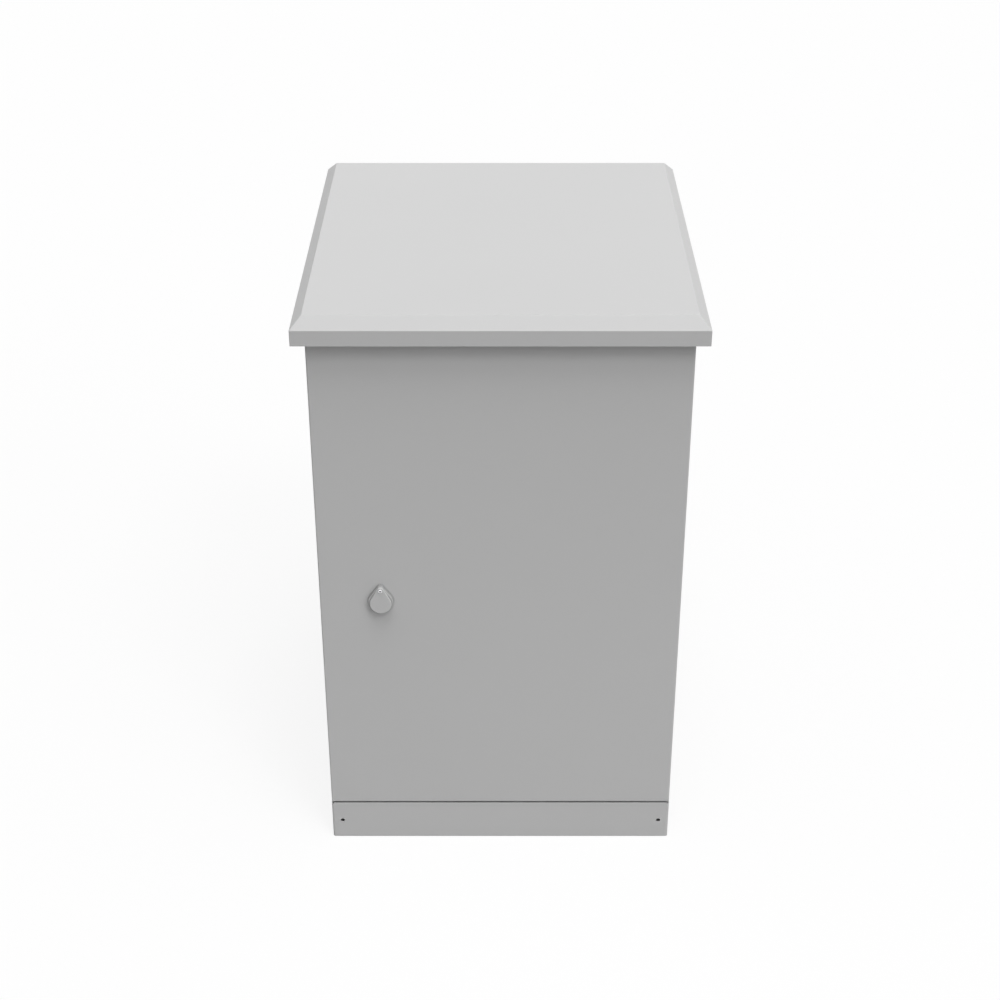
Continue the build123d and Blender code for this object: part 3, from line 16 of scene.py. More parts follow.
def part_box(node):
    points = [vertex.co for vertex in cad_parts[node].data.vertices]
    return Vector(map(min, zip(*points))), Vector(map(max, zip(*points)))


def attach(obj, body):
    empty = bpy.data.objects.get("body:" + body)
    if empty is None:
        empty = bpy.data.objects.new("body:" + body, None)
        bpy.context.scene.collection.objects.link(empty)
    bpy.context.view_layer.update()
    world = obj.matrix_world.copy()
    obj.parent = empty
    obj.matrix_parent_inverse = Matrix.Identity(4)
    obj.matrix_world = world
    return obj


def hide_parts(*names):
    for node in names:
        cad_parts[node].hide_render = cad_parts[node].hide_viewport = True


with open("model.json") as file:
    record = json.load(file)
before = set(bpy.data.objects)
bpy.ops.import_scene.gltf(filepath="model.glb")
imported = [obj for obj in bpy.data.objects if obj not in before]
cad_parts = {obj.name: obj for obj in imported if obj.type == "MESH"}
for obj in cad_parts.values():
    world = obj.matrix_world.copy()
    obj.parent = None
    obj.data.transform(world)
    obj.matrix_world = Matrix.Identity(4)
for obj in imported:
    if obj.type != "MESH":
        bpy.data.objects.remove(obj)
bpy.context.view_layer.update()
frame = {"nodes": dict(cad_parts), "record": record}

nodes = frame["nodes"]

# %% [markdown]
# Each finish is a material of nodes. The small effects that several finishes share,
# such as the skin of powder coat or the grain of rolled zinc, are node groups. They
# are built once and placed in each material with their own values.

# %% Helpers for materials and node groups
def link(tree, start, end):
    """Joins an output to an input."""
    tree.links.new(start, end)


def place(tree, kind, **values):
    """Adds a node; each value sets an input by its name, or a property of the node."""
    node = tree.nodes.new(kind)
    for key, value in values.items():
        name = key.replace("_", " ").title()
        if name in node.inputs:
            node.inputs[name].default_value = value
        else:
            setattr(node, key, value)
    return node


def new_group(name, inputs, outputs):
    """A node group with float inputs and outputs, and the node that its inputs come from."""
    tree = bpy.data.node_groups.new(name, "ShaderNodeTree")
    for title, value in inputs.items():
        socket = tree.interface.new_socket(title, in_out="INPUT", socket_type="NodeSocketFloat")
        socket.default_value = value
    for title in outputs:
        tree.interface.new_socket(title, in_out="OUTPUT", socket_type="NodeSocketFloat")
    return tree, tree.nodes.new("NodeGroupInput"), tree.nodes.new("NodeGroupOutput")


def use_group(tree, group, **values):
    """Places a group in a material, with its inputs set by name."""
    node = tree.nodes.new("ShaderNodeGroup")
    node.node_tree = group
    for key, value in values.items():
        node.inputs[key.replace("_", " ").title()].default_value = value
    return node


def new_material(name, colour, metallic=0.0, roughness=0.5):
    """A material with its surface shader, whose plain values are set on the shader itself."""
    material = bpy.data.materials.new(name)
    material.use_nodes = True
    shader = material.node_tree.nodes["Principled BSDF"]
    shader.inputs["Base Color"].default_value = (*colour, 1.0)
    shader.inputs["Metallic"].default_value = metallic
    shader.inputs["Roughness"].default_value = roughness
    return material, material.node_tree, shader


print("helpers", [f.__name__ for f in (link, place, new_group, use_group, new_material)])

# %% [markdown]
# Powder coat is a baked skin with a faint orange peel, a few millimetres from crest to
# crest. Two layers of noise on Object coordinates give its height. Object coordinates
# are in metres here, so a scale of 400 means a pattern about 2.5 mm wide.

# %% Group: orange peel of powder coat
FINE_PEEL = 3.7


def make_orange_peel():
    tree, start, end = new_group("orange peel", {"Scale": 400.0, "Fine": 0.3}, ["Height"])
    where = place(tree, "ShaderNodeTexCoord")
    broad = place(tree, "ShaderNodeTexNoise", detail=1.0)
    fine = place(tree, "ShaderNodeTexNoise", detail=2.0)
    faster = place(tree, "ShaderNodeMath", operation="MULTIPLY")
    faster.inputs[1].default_value = FINE_PEEL
    add = place(tree, "ShaderNodeMath", operation="MULTIPLY_ADD")
    link(tree, where.outputs["Object"], broad.inputs["Vector"])
    link(tree, where.outputs["Object"], fine.inputs["Vector"])
    link(tree, start.outputs["Scale"], broad.inputs["Scale"])
    link(tree, start.outputs["Scale"], faster.inputs[0])
    link(tree, faster.outputs[0], fine.inputs["Scale"])
    link(tree, fine.outputs["Fac"], add.inputs[0])
    link(tree, start.outputs["Fine"], add.inputs[1])
    link(tree, broad.outputs["Fac"], add.inputs[2])
    link(tree, add.outputs[0], end.inputs["Height"])
    return tree


orange_peel = make_orange_peel()
print("group", orange_peel.name)

# %% [markdown]
# No large sheet is the same tone all over. The coat is a little thicker here and
# thinner there, and fine dust lies in it. Slow noise around a middle of one gives a
# factor for the colour, and the same factor shifts the roughness.

# %% Group: slow change of tone
def make_tone():
    tree, start, end = new_group("slow tone", {"Scale": 3.0, "Amount": 0.03}, ["Factor"])
    where = place(tree, "ShaderNodeTexCoord")
    noise = place(tree, "ShaderNodeTexNoise", detail=3.0, roughness=0.45)
    centre = place(tree, "ShaderNodeMath", operation="SUBTRACT")
    centre.inputs[1].default_value = 0.5
    scaled = place(tree, "ShaderNodeMath", operation="MULTIPLY_ADD")
    scaled.inputs[2].default_value = 1.0
    link(tree, where.outputs["Object"], noise.inputs["Vector"])
    link(tree, start.outputs["Scale"], noise.inputs["Scale"])
    link(tree, noise.outputs["Fac"], centre.inputs[0])
    link(tree, centre.outputs[0], scaled.inputs[0])
    link(tree, start.outputs["Amount"], scaled.inputs[1])
    link(tree, scaled.outputs[0], end.inputs["Factor"])
    return tree


slow_tone = make_tone()
print("group", slow_tone.name)

# %% [markdown]
# Handling rubs the coat along folds and cut edges. A Bevel node rounds the normal near
# an edge, and where that rounded normal leaves the true one there is an edge. Noise
# breaks the mask up, so that it reads as wear and not as a drawn line.

# %% Group: edge wear
def make_edge_wear():
    tree, start, end = new_group("edge wear", {"Radius": 0.0008, "Amount": 0.5}, ["Mask"])
    rounded = place(tree, "ShaderNodeBevel", samples=4)
    true = place(tree, "ShaderNodeNewGeometry")
    dot = place(tree, "ShaderNodeVectorMath", operation="DOT_PRODUCT")
    bend = place(tree, "ShaderNodeMath", operation="SUBTRACT")
    bend.inputs[0].default_value = 1.0
    where = place(tree, "ShaderNodeTexCoord")
    noise = place(tree, "ShaderNodeTexNoise", scale=160.0, detail=4.0)
    product = place(tree, "ShaderNodeMath", operation="MULTIPLY")
    strength = place(tree, "ShaderNodeMath", operation="MULTIPLY", use_clamp=True)
    link(tree, start.outputs["Radius"], rounded.inputs["Radius"])
    link(tree, rounded.outputs["Normal"], dot.inputs[0])
    link(tree, true.outputs["Normal"], dot.inputs[1])
    link(tree, dot.outputs["Value"], bend.inputs[1])
    link(tree, where.outputs["Object"], noise.inputs["Vector"])
    link(tree, bend.outputs[0], product.inputs[0])
    link(tree, noise.outputs["Fac"], product.inputs[1])
    link(tree, product.outputs[0], strength.inputs[0])
    link(tree, start.outputs["Amount"], strength.inputs[1])
    link(tree, strength.outputs[0], end.inputs["Mask"])
    return tree


edge_wear = make_edge_wear()
print("group", edge_wear.name)

# %% [markdown]
# Painted shade: narrow gaps and inner corners, such as the slot between the door and the
# plinth, are darkened in the colour where shade falls. An Ambient Occlusion node tells how
# open a place is within a few millimetres, and a Map Range node turns the least open places dark.

# %% Group: painted shade in gaps
# Below the first openness the painted shade is darkest, and above the second there is none.
FULLY_SHADED = 0.10
UNSHADED = 0.85


def make_gap_shade():
    tree, start, end = new_group("painted gap shade", {"Reach": 0.01, "Darkest": 0.2}, ["Factor"])
    openness = place(tree, "ShaderNodeAmbientOcclusion", samples=8)
    spread = place(tree, "ShaderNodeMapRange", interpolation_type="SMOOTHSTEP")
    spread.inputs["From Min"].default_value = FULLY_SHADED
    spread.inputs["From Max"].default_value = UNSHADED
    link(tree, start.outputs["Reach"], openness.inputs["Distance"])
    link(tree, openness.outputs["AO"], spread.inputs["Value"])
    link(tree, start.outputs["Darkest"], spread.inputs["To Min"])
    link(tree, spread.outputs["Result"], end.inputs["Factor"])
    return tree


gap_shade = make_gap_shade()
print("group", gap_shade.name)

# %% [markdown]
# Zinc-plated sheet shows a faint pattern of crystals. Voronoi cells a few millimetres
# wide each get a slightly different brightness and roughness.

# %% Group: zinc crystals
def make_zinc_crystals():
    tree, start, end = new_group("zinc crystals", {"Scale": 120.0, "Amount": 0.1}, ["Factor"])
    where = place(tree, "ShaderNodeTexCoord")
    cells = place(tree, "ShaderNodeTexVoronoi")
    apart = place(tree, "ShaderNodeSeparateColor")
    centre = place(tree, "ShaderNodeMath", operation="SUBTRACT")
    centre.inputs[1].default_value = 0.5
    scaled = place(tree, "ShaderNodeMath", operation="MULTIPLY_ADD")
    scaled.inputs[2].default_value = 1.0
    link(tree, where.outputs["Object"], cells.inputs["Vector"])
    link(tree, start.outputs["Scale"], cells.inputs["Scale"])
    link(tree, cells.outputs["Color"], apart.inputs["Color"])
    link(tree, apart.outputs["Red"], centre.inputs[0])
    link(tree, centre.outputs[0], scaled.inputs[0])
    link(tree, start.outputs["Amount"], scaled.inputs[1])
    link(tree, scaled.outputs[0], end.inputs["Factor"])
    return tree


zinc_crystals = make_zinc_crystals()
print("group", zinc_crystals.name)

# %% [markdown]
# Drawn and rolled metal has fine lines along its length. Noise that is squeezed across
# the line and stretched along it gives them; the three inputs are the scales per axis.

# %% Group: drawn lines
def make_drawn_lines():
    scales = {"Across X": 900.0, "Across Y": 900.0, "Along": 12.0}
    tree, start, end = new_group("drawn lines", scales, ["Height"])
    where = place(tree, "ShaderNodeTexCoord")
    apart = place(tree, "ShaderNodeSeparateXYZ")
    together = place(tree, "ShaderNodeCombineXYZ")
    noise = place(tree, "ShaderNodeTexNoise", scale=1.0, detail=3.0)
    link(tree, where.outputs["Object"], apart.inputs["Vector"])
    for axis, title in zip("XYZ", scales):
        scaled = place(tree, "ShaderNodeMath", operation="MULTIPLY")
        link(tree, apart.outputs[axis], scaled.inputs[0])
        link(tree, start.outputs[title], scaled.inputs[1])
        link(tree, scaled.outputs[0], together.inputs[axis])
    link(tree, together.outputs["Vector"], noise.inputs["Vector"])
    link(tree, noise.outputs["Fac"], end.inputs["Height"])
    return tree


drawn_lines = make_drawn_lines()
print("group", drawn_lines.name)

# %% [markdown]
# Two helpers join an effect to the shader. One multiplies the plain colour by a factor
# that changes over the surface, and the other turns a height into a bump.

# %% Helpers that join effects to the shader
def tint(tree, shader, colour, factor):
    """The base colour times a factor."""
    mix = place(tree, "ShaderNodeVectorMath", operation="SCALE")
    mix.inputs[0].default_value = colour
    link(tree, factor, mix.inputs["Scale"])
    link(tree, mix.outputs["Vector"], shader.inputs["Base Color"])


def bump(tree, shader, height, distance):
    """A height of up to a distance in metres, felt as a bump."""
    node = place(tree, "ShaderNodeBump", strength=1.0, distance=distance)
    link(tree, height, node.inputs["Height"])
    link(tree, node.outputs["Normal"], shader.inputs["Normal"])


def vary_roughness(tree, shader, factor, middle, amount):
    """Roughness that moves about its middle with a factor near one."""
    node = place(tree, "ShaderNodeMath", operation="MULTIPLY_ADD")
    node.inputs[1].default_value = amount
    node.inputs[2].default_value = middle - amount
    link(tree, factor, node.inputs[0])
    link(tree, node.outputs[0], shader.inputs["Roughness"])


print("helpers", [f.__name__ for f in (tint, bump, vary_roughness)])

# %% [markdown]
# The outside is sheet steel in a light grey powder coat. Its colour is a plain neutral
# grey; the peel is only felt where a lamp is mirrored, and the edges are a touch paler.
# The lock's casting takes a darker copy of the coat, which is painted shade, and on the
# casting and the dust cover the painted shade in corners reaches further.

# %% Finish: light grey powder coat, outside
PAINT = (0.585, 0.585, 0.585)
PAINT_ROUGHNESS = 0.52
PAINT_SPECULAR = 0.25
# How far the painted shade in gaps and corners reaches, on the outside and on the lock.
SHADE_REACH = 0.005
LOCK_SHADE_REACH = 0.040
# The lock casting's grey is darker than the door's grey as painted shade.
LOCK_CASTING_SHADED = (0.47, 0.47, 0.47)
INNER_PAINT = (0.56, 0.56, 0.56)
PEEL_DEPTH = 0.00002
CAST_PEEL_DEPTH = 0.00001
INNER_PEEL_DEPTH = 0.00003
SHADE_DARKEST = 0.25
EDGE_PALER = 0.35


def make_paint(name, colour, peel_depth, shade_reach):
    """Powder coat with its peel, a slow change of tone, paler edges and painted shade in its gaps
    and corners.
    """
    material, tree, shader = new_material(name, colour, roughness=PAINT_ROUGHNESS)
    shader.inputs["Specular IOR Level"].default_value = PAINT_SPECULAR
    tone = use_group(tree, slow_tone, scale=2.5, amount=0.035)
    wear = use_group(tree, edge_wear, radius=0.0009, amount=0.6)
    lifted = place(tree, "ShaderNodeMath", operation="MULTIPLY_ADD")
    lifted.inputs[1].default_value = EDGE_PALER
    link(tree, wear.outputs["Mask"], lifted.inputs[0])
    link(tree, tone.outputs["Factor"], lifted.inputs[2])
    # Painted shade: the colour is darkened in gaps and inner corners, where shade falls.
    painted_shade = use_group(tree, gap_shade, reach=shade_reach, darkest=SHADE_DARKEST)
    with_shade = place(tree, "ShaderNodeMath", operation="MULTIPLY")
    link(tree, lifted.outputs[0], with_shade.inputs[0])
    link(tree, painted_shade.outputs["Factor"], with_shade.inputs[1])
    tint(tree, shader, colour, with_shade.outputs[0])
    vary_roughness(tree, shader, tone.outputs["Factor"], middle=PAINT_ROUGHNESS, amount=1.2)
    peel = use_group(tree, orange_peel, scale=420.0, fine=0.25)
    bump(tree, shader, peel.outputs["Height"], distance=peel_depth)
    return material


paint = make_paint("light grey powder coat", PAINT, PEEL_DEPTH, SHADE_REACH)
# The dust cover and the lock casting take painted shade that reaches further, and the casting a
# darker grey as painted shade.
cover_paint_wide_shade = make_paint("light grey cover coat, wide shade", PAINT, CAST_PEEL_DEPTH, LOCK_SHADE_REACH)
lock_paint_shaded = make_paint("grey lock casting coat, shaded", LOCK_CASTING_SHADED, CAST_PEEL_DEPTH, LOCK_SHADE_REACH)
inner_paint = make_paint("inner grey powder coat", INNER_PAINT, INNER_PEEL_DEPTH, SHADE_REACH)
print("finishes", [m.name for m in (paint, cover_paint_wide_shade, lock_paint_shaded, inner_paint)])

# %% [markdown]
# Rails, shelf, latch and hinge leaves are zinc-plated steel: a metal with faint
# crystals and the lines of the rolling mill.

# %% Finish: zinc-plated sheet
def make_zinc():
    colour = (0.60, 0.61, 0.63)
    material, tree, shader = new_material("zinc plated sheet", colour, metallic=1.0)
    crystals = use_group(tree, zinc_crystals, scale=150.0, amount=0.16)
    tint(tree, shader, colour, crystals.outputs["Factor"])
    vary_roughness(tree, shader, crystals.outputs["Factor"], middle=0.38, amount=0.5)
    lines = use_group(tree, drawn_lines, across_x=700.0, across_y=700.0, along=25.0)
    bump(tree, shader, lines.outputs["Height"], distance=0.000012)
    return material


zinc = make_zinc()
print("finish", zinc.name)

# %% [markdown]
# Bolts, nuts and pins are plated too, but smoother and a little warmer, with bright
# rubbed corners where a spanner has held them.

# %% Finish: plated fasteners
CORNER_PALER = 0.4


def make_fastener():
    colour = (0.62, 0.61, 0.59)
    material, tree, shader = new_material("plated fasteners", colour, metallic=1.0)
    tone = use_group(tree, slow_tone, scale=60.0, amount=0.25)
    wear = use_group(tree, edge_wear, radius=0.0004, amount=0.9)
    lifted = place(tree, "ShaderNodeMath", operation="MULTIPLY_ADD")
    lifted.inputs[1].default_value = CORNER_PALER
    link(tree, wear.outputs["Mask"], lifted.inputs[0])
    link(tree, tone.outputs["Factor"], lifted.inputs[2])
    tint(tree, shader, colour, lifted.outputs[0])
    vary_roughness(tree, shader, tone.outputs["Factor"], middle=0.32, amount=0.3)
    return material


fastener = make_fastener()
print("finish", fastener.name)

# %% [markdown]
# The tubular rivet of the dust cover and the lock's plug are polished and plated. They
# mirror the room, so they get a low roughness with faint turning marks. Painted shade
# darkens the rivet's bore and the keyway.

# %% Finish: polished lock metal
def make_polished():
    colour = (0.66, 0.66, 0.67)
    material, tree, shader = new_material("polished lock metal", colour, metallic=1.0)
    # Painted shade: the colour is darkened in the bore and the keyway, where shade falls.
    painted_shade = use_group(tree, gap_shade, reach=0.004, darkest=0.04)
    tint(tree, shader, colour, painted_shade.outputs["Factor"])
    lines = use_group(tree, drawn_lines, across_x=1500.0, across_y=200.0, along=1500.0)
    vary_roughness(tree, shader, lines.outputs["Height"], middle=0.28, amount=0.12)
    bump(tree, shader, lines.outputs["Height"], distance=0.000004)
    return material


polished = make_polished()
print("finish", polished.name)

# %% [markdown]
# The patch units are coated black with a fine texture, rubbed paler on their edges.

# %% Finish: black textured coat
BLACK_EDGE_PALER = 3.0


def make_black_coat():
    colour = (0.028, 0.028, 0.031)
    material, tree, shader = new_material("black textured coat", colour, roughness=0.55)
    wear = use_group(tree, edge_wear, radius=0.0006, amount=1.0)
    lifted = place(tree, "ShaderNodeMath", operation="MULTIPLY_ADD")
    lifted.inputs[1].default_value = BLACK_EDGE_PALER
    lifted.inputs[2].default_value = 1.0
    link(tree, wear.outputs["Mask"], lifted.inputs[0])
    tint(tree, shader, colour, lifted.outputs[0])
    peel = use_group(tree, orange_peel, scale=900.0, fine=0.6)
    bump(tree, shader, peel.outputs["Height"], distance=0.00005)
    return material


black_coat = make_black_coat()
print("finish", black_coat.name)

# %% [markdown]
# Mouldings are all made in the same way: a plain colour, a fine spark-eroded grain and
# a slow change of gloss. Only their colours, grain and gloss differ.

# %% Finish: moulded plastics
def make_moulded(name, colour, roughness, grain_depth, grain_scale=1400.0):
    """A plastic whose grain has a depth in metres."""
    material, tree, shader = new_material(name, colour, roughness=roughness)
    tone = use_group(tree, slow_tone, scale=25.0, amount=0.08)
    tint(tree, shader, colour, tone.outputs["Factor"])
    vary_roughness(tree, shader, tone.outputs["Factor"], middle=roughness, amount=0.4)
    grain = use_group(tree, orange_peel, scale=grain_scale, fine=0.5)
    bump(tree, shader, grain.outputs["Height"], distance=grain_depth)
    return material


adapter_plastic = make_moulded(
    "blue adapter plastic", (0.02, 0.13, 0.34), roughness=0.30, grain_depth=0.000008
)
tray_plastic = make_moulded(
    "white tray plastic", (0.66, 0.66, 0.63), roughness=0.42, grain_depth=0.000015
)
dark_plastic = make_moulded(
    "black moulded plastic", (0.022, 0.022, 0.024), roughness=0.48, grain_depth=0.00003
)
seal_foam = make_moulded(
    "black foam seal", (0.018, 0.018, 0.019), roughness=0.85, grain_depth=0.00012, grain_scale=1100.0
)
cap_plastic = make_moulded(
    "pale dust cap plastic", (0.62, 0.64, 0.66), roughness=0.35, grain_depth=0.00001
)
plastics = (adapter_plastic, tray_plastic, dark_plastic, seal_foam, cap_plastic)
print("finishes", [plastic.name for plastic in plastics])

# %% [markdown]
# The lid of the splice tray is clear smoked plastic, so that the fibres can be seen
# without opening it. Transmission makes it clear, and its thickness is in the solid.

# %% Finish: smoked clear plastic
def make_smoked():
    colour = (0.62, 0.65, 0.68)
    material, tree, shader = new_material("smoked clear plastic", colour, roughness=0.08)
    shader.inputs["Transmission Weight"].default_value = 0.85
    shader.inputs["IOR"].default_value = 1.49
    tone = use_group(tree, slow_tone, scale=18.0, amount=0.05)
    tint(tree, shader, colour, tone.outputs["Factor"])
    return material


smoked = make_smoked()
print("finish", smoked.name)

# %% [markdown]
# The earth bar is drawn brass with lines along its length, which runs left to right.

# %% Finish: drawn brass
def make_brass():
    colour = (0.76, 0.56, 0.26)
    material, tree, shader = new_material("drawn brass", colour, metallic=1.0)
    tone = use_group(tree, slow_tone, scale=30.0, amount=0.2)
    tint(tree, shader, colour, tone.outputs["Factor"])
    lines = use_group(tree, drawn_lines, across_x=12.0, across_y=900.0, along=900.0)
    vary_roughness(tree, shader, lines.outputs["Height"], middle=0.30, amount=0.15)
    bump(tree, shader, lines.outputs["Height"], distance=0.00001)
    return material


brass = make_brass()
print("finish", brass.name)

# %% [markdown]
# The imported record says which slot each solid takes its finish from, so one table from
# slot to material dresses them all.

# %% Dress the solids
FINISHES = {
    "paint": paint,
    "inner_paint": inner_paint,
    "zinc": zinc,
    "fasteners": fastener,
    "chrome": polished,
    "panel": black_coat,
    "adapter": adapter_plastic,
    "brass": brass,
    "rubber": seal_foam,
    "tray_plastic": tray_plastic,
    "clear_plastic": smoked,
    "dark_plastic": dark_plastic,
}
slot_of = {part["node"]: part["material_slot"] for part in frame["record"]["subparts"]}


def dress(thing, material):
    """Gives an object one material in place of what it has."""
    thing.data.materials.clear()
    thing.data.materials.append(material)


for name, slot_name in slot_of.items():
    dress(nodes[name], FINISHES[slot_name])
# The lock's casting and its cover get the coats with more painted shade.
dress(nodes["lock_body"], lock_paint_shaded)
dress(nodes["dust_cover"], cover_paint_wide_shade)
print("dressed", len(slot_of), "solids in", len(set(slot_of.values())), "finishes")

# %% [markdown]
# The loaded solids carry normals of their own, so that a barrel looks round and a fold
# looks crisp, and they are left as they are. New pieces are shaded smooth up to an
# angle instead, which keeps their corners sharp. Operators act on whatever is selected,
# so a helper first leaves one object alone selected.

# %% Selecting one object
SMOOTH_ANGLE = math.radians(32)


def only(thing):
    """Makes one object the only one that is selected."""
    bpy.ops.object.select_all(action="DESELECT")
    thing.select_set(True)
    bpy.context.view_layer.objects.active = thing


print("first node has custom normals:", nodes["roof_hood"].data.has_custom_normals)

# %% [markdown]
# New pieces are modelled as by hand: a primitive is added at its size and place and is
# then shaped in edit mode. Operators act on everything that is selected, so these
# helpers deselect first, and pick faces and edges by where they lie.

# %% Helpers for modelling
def begin(adder, **options):
    """Adds a primitive with nothing else selected and goes into edit mode."""
    bpy.ops.object.select_all(action="DESELECT")
    adder(**options)
    bpy.ops.object.mode_set(mode="EDIT")
    return bpy.context.active_object


def choose(kind, test):
    """Selects the faces or edges whose middle passes the test."""
    thing = bpy.context.active_object
    bpy.ops.mesh.select_mode(type=kind)
    bpy.ops.mesh.select_all(action="DESELECT")
    mesh = bmesh.from_edit_mesh(thing.data)
    for part in {"FACE": mesh.faces, "EDGE": mesh.edges}[kind]:
        middle = sum((corner.co for corner in part.verts), Vector()) / len(part.verts)
        part.select = test(thing.matrix_world @ middle, part)
    mesh.select_flush_mode()
    bmesh.update_edit_mesh(thing.data)


def finish_piece(name, material, slot_name, body):
    """Leaves edit mode, puts the object's origin at the world's and makes it ride on a body."""
    bpy.ops.object.mode_set(mode="OBJECT")
    thing = bpy.context.active_object
    only(thing)
    bpy.ops.object.transform_apply(location=True, rotation=True, scale=True)
    bpy.ops.object.shade_smooth_by_angle(angle=SMOOTH_ANGLE)
    thing.name = name
    thing.data.name = name
    dress(thing, material)
    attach(thing, body)
    return thing


def middle_of(low, high):
    """The point, or the value, half way."""
    return (low + high) / 2


print("helpers", [f.__name__ for f in (begin, choose, finish_piece, middle_of)])

# %% [markdown]
# The door seals on the frame's raised lip with a ring of foam. The solid only blocks it
# out as a square ring. Here a plane is inset to leave a ring, the inside is deleted,
# the ring is pulled out towards the lip, and the edges of its free side are rounded, so
# that it reads as a soft extrusion. It stands for the solid, which stays as the
# collision shape.

# %% Door seal
SEAL_WIDTH = 0.012
SEAL_ROUND = 0.0042
SEAL_ROUND_STEPS = 6
SEAL_PROFILE = 0.6
CLOSE = 0.0002


def on_free_side(thing, edge, free_y):
    """True for the edges of the seal's free side, apart from the mitres at its corners."""
    start, end = [thing.matrix_world @ corner.co for corner in edge.verts]
    mitre = abs(start.x - end.x) > CLOSE and abs(start.z - end.z) > CLOSE
    return min(start.y, end.y) > free_y - CLOSE and not mitre


def make_door_seal():
    """The ring of foam on the door's back, in place of the plain solid."""
    low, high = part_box("door_seal")
    centre = middle_of(low, high)
    start = Vector((centre.x, low.y, centre.z))
    size = (high.x - low.x, 1, high.z - low.z)
    turned = (math.pi / 2, 0, 0)
    ring = begin(bpy.ops.mesh.primitive_plane_add, size=1.0, location=start, rotation=turned)
    bpy.ops.transform.resize(value=size, center_override=start)
    bpy.ops.mesh.select_all(action="SELECT")
    bpy.ops.mesh.inset(thickness=SEAL_WIDTH, use_even_offset=True)
    choose("FACE", lambda at, face: (at - start).length < SEAL_WIDTH)
    bpy.ops.mesh.delete(type="FACE")
    bpy.ops.mesh.select_all(action="SELECT")
    bpy.ops.mesh.extrude_region_move(TRANSFORM_OT_translate={"value": (0, high.y - low.y, 0)})
    choose("EDGE", lambda at, edge: on_free_side(ring, edge, high.y))
    bpy.ops.mesh.bevel(offset=SEAL_ROUND, segments=SEAL_ROUND_STEPS, profile=SEAL_PROFILE)
    bpy.ops.mesh.select_all(action="SELECT")
    bpy.ops.mesh.remove_doubles(threshold=0.00001)
    bpy.ops.mesh.normals_make_consistent(inside=False)
    seal = finish_piece("foam_seal", seal_foam, "rubber", "door")
    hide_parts("door_seal")
    return seal


foam_seal = make_door_seal()
print("seal vertices", len(foam_seal.data.vertices))

# %% [markdown]
# Four cable glands stand in a row in the gland plate. What they share, such as a thread,
# is modelled at the first of them and copied to the others. Each copy gets a mesh of its
# own, and its place goes into that mesh, because its object has to stay at the origin.

# %% Copies, and the places of the glands
GLAND_COUNT = 4
GLAND_STEP = 0.068

gland_low, gland_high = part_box("cable_glands")
gland_y = middle_of(gland_low, gland_high).y
gland_xs = [(i - (GLAND_COUNT - 1) / 2) * GLAND_STEP for i in range(GLAND_COUNT)]
glands = [Vector((x, gland_y, 0)) for x in gland_xs]


def copy_to(thing, name, start, end, body, quarters=0):
    """A copy with its own mesh, moved from a start to an end and turned there about Z."""
    twin = thing.copy()
    twin.data = thing.data.copy()
    bpy.context.scene.collection.objects.link(twin)
    turn = Matrix.Rotation(quarters * math.pi / 2, 4, "Z")
    twin.data.transform(Matrix.Translation(end) @ turn @ Matrix.Translation(-start))
    twin.name = name
    twin.data.name = name
    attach(twin, body)
    return twin


def at_each_gland(first, stem):
    """The piece at the first gland, and its copies at the others."""
    start, *others = glands
    pieces = [first]
    for i, gland in enumerate(others, start=2):
        pieces.append(copy_to(first, f"{stem}_{i}", start, gland, "cabinet"))
    return pieces


print("glands at", [(round(gland.x, 4), round(gland.y, 4)) for gland in glands])

# %% [markdown]
# Threads are left out of the solids. Here a small triangle is turned and lifted by a
# Screw modifier, which makes the ridge of a real thread. The tube that it leaves is
# closed at both ends.

# %% Thread ridges of the glands
THREAD_RADIUS = 0.0125
THREAD_PITCH = 0.0015
THREAD_FOOT = 0.35 * THREAD_PITCH
THREAD_NARROWER = 0.30 / 0.35
THREAD_END = 0.0004
THREAD_STEPS = 20


def make_thread(name, gland, low, high):
    """The ridge of a thread round one gland's shaft, from low to high."""
    turns = max(int((high - low) / THREAD_PITCH) - 1, 1)
    start = (THREAD_RADIUS, 0, THREAD_PITCH / 2)
    ridge = begin(
        bpy.ops.mesh.primitive_circle_add,
        vertices=3, radius=THREAD_FOOT, fill_type="NOTHING",
        location=start, rotation=(math.pi / 2, 0, 0),
    )
    bpy.ops.transform.resize(value=(THREAD_NARROWER, 1, 1), center_override=start)
    bpy.ops.object.mode_set(mode="OBJECT")
    only(ridge)
    bpy.ops.object.transform_apply(location=True, rotation=True, scale=True)
    screw = ridge.modifiers.new("thread", "SCREW")
    screw.axis = "Z"
    screw.screw_offset = THREAD_PITCH
    screw.iterations = turns
    screw.steps = THREAD_STEPS
    screw.render_steps = THREAD_STEPS
    screw.use_normal_calculate = True
    bpy.ops.object.modifier_apply(modifier=screw.name)
    bpy.ops.object.mode_set(mode="EDIT")
    bpy.ops.mesh.select_all(action="SELECT")
    bpy.ops.mesh.remove_doubles(threshold=0.000001)
    bpy.ops.mesh.select_mode(type="EDGE")
    bpy.ops.mesh.select_all(action="DESELECT")
    bpy.ops.mesh.select_non_manifold()
    bpy.ops.mesh.fill()
    bpy.ops.mesh.select_all(action="SELECT")
    bpy.ops.mesh.normals_make_consistent(inside=False)
    bpy.ops.transform.translate(value=(gland.x, gland.y, low))
    return finish_piece(name, dark_plastic, "dark_plastic", "cabinet")


nut_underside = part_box("gland_locknuts")[0].z
thread_low = gland_low.z + THREAD_END
first_thread = make_thread("gland_thread_1", glands[0], thread_low, nut_underside)
gland_threads = at_each_gland(first_thread, "gland_thread")
print("threads", [len(thread.data.polygons) for thread in gland_threads])

# %% [markdown]
# Ports that hold no plug are closed with dust caps. A cap is a small block that slides
# into the port, with a rounded pull in front. One is shaped from a cube: its front face
# is inset and pulled out, and a bevel rounds it. The others are copies of it.

